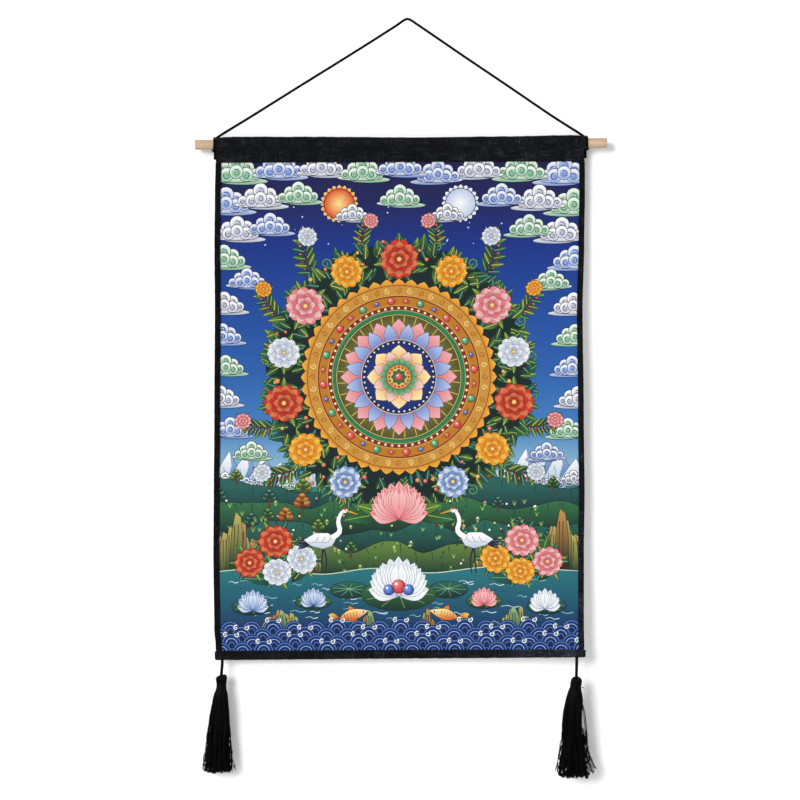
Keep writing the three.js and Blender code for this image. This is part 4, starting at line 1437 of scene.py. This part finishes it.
RIGHT_TASSEL = {
    "across": CLOTH_WIDTH - 8.7,
    "cord": 23.0,
    "lean": -0.5,
    "length": 125.0,
    "rows": (
        *((0, 0.0, 4.0), (1.4, 0.0, 8.6), (5, 0.0, 12.7), (9, -0.7, 13.2), (13, -1.2, 12.2)),
        *((19, -2.2, 16.0), (28, -2.7, 20.0), (43, -4.5, 22.4), (60, -5.3, 24.0)),
        *((78, -4.8, 24.6), (97, -3.6, 29.4), (125, -1.5, 38.6)),
    ),
    "neck": 13.0,
    "crown": ((0.9, 0.9), (2.4, 0.0), (4.2, 0.9), (5.8, 2.7), (6.6, 4.8)),
    "slant": 0.0,
    "raggedness": 4.6,
    "seed": 9,
    "wisps": (
        (((6.6, 30), (10.4, 46), (12.8, 72), (14.0, 88), (16.2, 104)), 5, 0.4, 0.0),
        (((7.0, 34), (9.0, 48), (11.4, 70), (12.2, 90), (14.0, 106)), 4, 0.4, 0.8),
        (((7.6, 62), (11.6, 82), (16.6, 98), (23.0, 113)), 8, 0.8, 0.0),
        (((7.6, 70), (10.8, 90), (15.0, 106), (20.8, 119)), 9, 1.3, 1.2),
        (((7.0, 76), (9.8, 96), (13.0, 110), (17.0, 122)), 8, 1.3, -1.2),
        (((-14.0, 50), (-17.4, 74), (-20.4, 96), (-24.6, 117)), 8, 1.0, 0.0),
        (((-14.2, 64), (-17.6, 86), (-20.0, 104), (-22.4, 120)), 8, 1.2, 1.0),
        (((-13.6, 74), (-16.4, 98), (-18.8, 123)), 8, 1.2, -1.2),
        (((5.4, 12.2), (7.6, 12.6), (9.4, 14.2)), 3, 0.3, -2.6),
    ),
}
HEAD_DEPTH, FOOT_DEPTH = 0.92, 0.56
STRAND_RADIUS = 0.34
# How far a wisp's strands stray, as a share of its spread, and after how many millimetres
CRINKLE, CRINKLE_STEP = 1.6, 6.2
# Locks that the strands gather in, and how far on round the tassel each next one is
LOCKS, LOCK_ANGLE = 34, 2.4
OUTER_STRANDS, INNER_STRANDS, STRAND_ANGLE = 132, 470, 2.39996
# How far a tassel's cord runs into the band and into the head
CORD_HIDDEN, CORD_INSIDE = 8.0, 6.0
# The thread wound round the neck: turns, their pitch, its diameter, and how far out it lies
WRAP_TURNS, WRAP_PITCH, WRAP_DIAMETER, WRAP_OUT = 5, 0.72, 0.84, 1.05


def tassel_points(tassel, head, side, back, drop):
    """Places in a tassel: sideways and back as shares of its half width there."""
    drops, middles, widths = zip(*tassel["rows"])
    half = np.interp(drop, drops, widths) / 2
    depth = HEAD_DEPTH + (FOOT_DEPTH - HEAD_DEPTH) * drop / tassel["length"]
    x = head[0] + np.interp(drop, drops, middles) + side * half
    return np.stack([x, head[1] + back * depth * half, head[2] - drop], axis=-1)


def strand_rings(path, radius):
    """Three-sided sections of a thin strand, square to its way."""
    tangents = unit(np.gradient(path, axis=0))
    first = unit(np.cross(tangents, (0.0, 1.0, 0.03)))
    second = np.cross(tangents, first)
    angles = np.linspace(0, 2 * np.pi, 3, endpoint=False)[None, :, None]
    reach = np.linspace(radius, radius * 0.8, len(path))[:, None, None]
    return path[:, None, :] + reach * (np.cos(angles) * first[:, None] + np.sin(angles) * second[:, None])


def crown_points(tassel, head, angle):
    """The thread's turn over the top of the head, on the side at an angle."""
    out, drop = np.array(tassel["crown"]).T
    lift = tassel["slant"] * (1 - math.cos(angle)) * np.minimum(1.0, out / 3)
    return head + np.stack([out * math.cos(angle), out * math.sin(angle) * HEAD_DEPTH, -drop - lift], axis=1)


def skirt_strands(tassel, head, draw):
    """The turned-over outer threads and the loose inner ones, which gather into locks at their ends."""
    neck, length = tassel["neck"], tassel["length"]
    locks = []
    for number in range(LOCKS):
        side, back = polar(0, 0, 0.97 * math.sqrt((number + 0.5) / LOCKS), number * LOCK_ANGLE)
        locks.append((side, back, tassel["raggedness"] * draw.random(), draw.uniform(0, 6.3)))
    for number in range(OUTER_STRANDS + INNER_STRANDS):
        outer = number < OUTER_STRANDS
        if outer:
            angle = 2 * math.pi * number / OUTER_STRANDS + draw.uniform(-0.012, 0.012)
            reach = draw.uniform(0.93, 1.05)
            start, count = tassel["crown"][-1][1] + 2.4 + tassel["slant"], 22
        else:
            angle = number * STRAND_ANGLE
            reach = 0.93 * math.sqrt((number - OUTER_STRANDS + 0.5) / INNER_STRANDS)
            start, count = neck - 2.0, 15
        side, back = polar(0, 0, reach, angle)
        lock = min(locks, key=lambda item: (item[0] - side) ** 2 + (item[1] - back) ** 2)
        end = length - 1.0 - lock[2] - 2.0 * draw.random() ** 2
        drop = np.linspace(start, end, count)
        free = np.clip((drop - neck) / (end - neck), 0, 1)
        gather = 0.72 * free**1.5
        phase, pace = draw.uniform(0, 6.3), draw.uniform(1.0, 2.4)
        sway = 0.055 * free * np.sin(phase + pace * 2 * np.pi * free) + 0.07 * free**2 * draw.uniform(-1, 1)
        sway += 0.07 * free * np.sin(lock[3] + 11 * free)
        at_side = side + gather * (lock[0] * 1.04 - side) + sway
        at_back = back + gather * (lock[1] * 1.04 - back) + 0.8 * sway
        path = tassel_points(tassel, head, at_side, at_back, drop)
        if outer:
            path = np.vstack([crown_points(tassel, head, angle), path])
        yield strand_rings(path, STRAND_RADIUS * (1.15 if outer else 1))


def wisp_strands(tassel, head, draw):
    for places, count, spread, back in tassel["wisps"]:
        outs, drops = zip(*places)
        for _ in range(count):
            aside, behind = draw.uniform(-spread, spread), draw.uniform(-spread, spread)
            low = drops[-1] * draw.uniform(0.97, 1.0)
            steps = max(3, round((low - drops[0]) / CRINKLE_STEP))
            route = []
            for drop in np.linspace(drops[0], low, steps + 1):
                loose = (drop - drops[0]) / (drops[-1] - drops[0])
                wander = draw.uniform(-CRINKLE, CRINKLE) * spread * math.sqrt(loose)
                x = np.interp(drop, drops, outs) + (0.4 + 0.9 * loose) * aside + wander
                route.append(head + (x, back + behind + 0.6 * wander, -drop))
            yield strand_rings(catmull(route, 2.2), STRAND_RADIUS * 1.3)


def neck_wrap(tassel, head):
    angles = np.linspace(0, 2 * np.pi * WRAP_TURNS, WRAP_TURNS * 28)
    drops = tassel["neck"] - 1.6 + WRAP_PITCH * angles / (2 * np.pi)
    coil = tassel_points(tassel, head, WRAP_OUT * np.cos(angles), WRAP_OUT * np.sin(angles), drops)
    return twisted_rings(coil, WRAP_DIAMETER, 2, 3.0, 6)


def add_tassel(side, tassel):
    height = BAND_LEFT + (BAND_RIGHT - BAND_LEFT) * tassel["across"] / CLOTH_WIDTH
    exit_place = cloth_points(tassel["across"], BAND_DROP + height + GAP, 0)
    head = exit_place + (tassel["lean"], 0, -tassel["cord"] - GAP)
    route = [
        exit_place + (0, 0, CORD_HIDDEN),
        exit_place,
        (exit_place + head) / 2 + (-tassel["lean"] / 8, 0, 0),
        head,
        head - (0, 0, CORD_INSIDE),
    ]
    cord = f"tassel_cord_{side}"
    path = catmull(route, 0.6)
    add_cord(f"{cord}_looks", path, TASSEL_CORD_DIAMETER, TASSEL_CORD_PITCH, exit_place, "hanging", cord)
    draw = random.Random(tassel["seed"])
    strands = [*skirt_strands(tassel, head, draw), *wisp_strands(tassel, head, draw), neck_wrap(tassel, head)]
    add_mesh(f"tassel_{side}_looks", *bodies(strands), "black_yarn", f"tassel_{side}")


add_tassel("left", LEFT_TASSEL)
add_tassel("right", RIGHT_TASSEL)


# Stage and light, in metres

STAGE = 3.0
WALL_Y, WALL_TOP, FLOOR_Z = 0.0112, 2.0, -1.02


def add_stage(name, corners, material):
    mesh = bpy.data.meshes.new(name)
    mesh.from_pydata(corners, [], [[0, 1, 2, 3]])
    mesh.materials.append(material)
    sheet = placed(name, mesh)
    return sheet


def wall_material():
    """White, lit a little by itself, and clear from behind."""
    material, tree, shader = new_material(
        "backdrop_white",
        Base_Color=(0.97, 0.97, 0.98, 1),
        Roughness=1.0,
        Specular_IOR_Level=0.0,
        Emission_Color=(1, 1, 1, 1),
        Emission_Strength=0.05,
    )
    mix = node(tree, "ShaderNodeMixShader")
    behind = node(tree, "ShaderNodeNewGeometry").outputs["Backfacing"]
    clear = node(tree, "ShaderNodeBsdfTransparent").outputs[0]
    for socket, source in zip(mix.inputs, (behind, shader.outputs[0], clear)):
        tree.links.new(source, socket)
    tree.links.new(mix.outputs[0], tree.nodes["Material Output"].inputs["Surface"])
    return material


def add_sun(name, energy, spread, way):
    """A light that shines along a way and fills some degrees of the sky."""
    sun = bpy.data.lights.new(name, "SUN")
    sun.energy = energy
    sun.angle = math.radians(spread)
    placed(name, sun).rotation_euler = Vector(way).to_track_quat("-Z", "Y").to_euler()


def add_room():
    """A wall that is seen but neither shades nor lights the part, and a floor."""
    corners = [(-STAGE, FLOOR_Z), (STAGE, FLOOR_Z), (STAGE, WALL_TOP), (-STAGE, WALL_TOP)]
    wall = add_stage("backdrop", [(x, WALL_Y, z) for x, z in corners], wall_material())
    wall.visible_shadow = wall.visible_diffuse = wall.visible_glossy = False
    pale, _, _ = new_material("floor_pale", Base_Color=(0.94, 0.94, 0.94, 1), Roughness=0.9)
    corners = [(-STAGE, -STAGE), (STAGE, -STAGE), (STAGE, STAGE), (-STAGE, STAGE)]
    add_stage("floor", [(x, y, FLOOR_Z) for x, y in corners], pale)


add_room()

world = bpy.data.worlds.new("studio")
world.use_nodes = True
world.node_tree.nodes["Background"].inputs["Color"].default_value = (1, 1, 1, 1)
world.node_tree.nodes["Background"].inputs["Strength"].default_value = 0.38
bpy.context.scene.world = world
add_sun("key", 2.9, 30, (0.78, 1.0, -0.42))
add_sun("rear", 2.0, 40, (-0.4, -1.0, -0.5))
bpy.context.scene.view_settings.view_transform = "Standard"
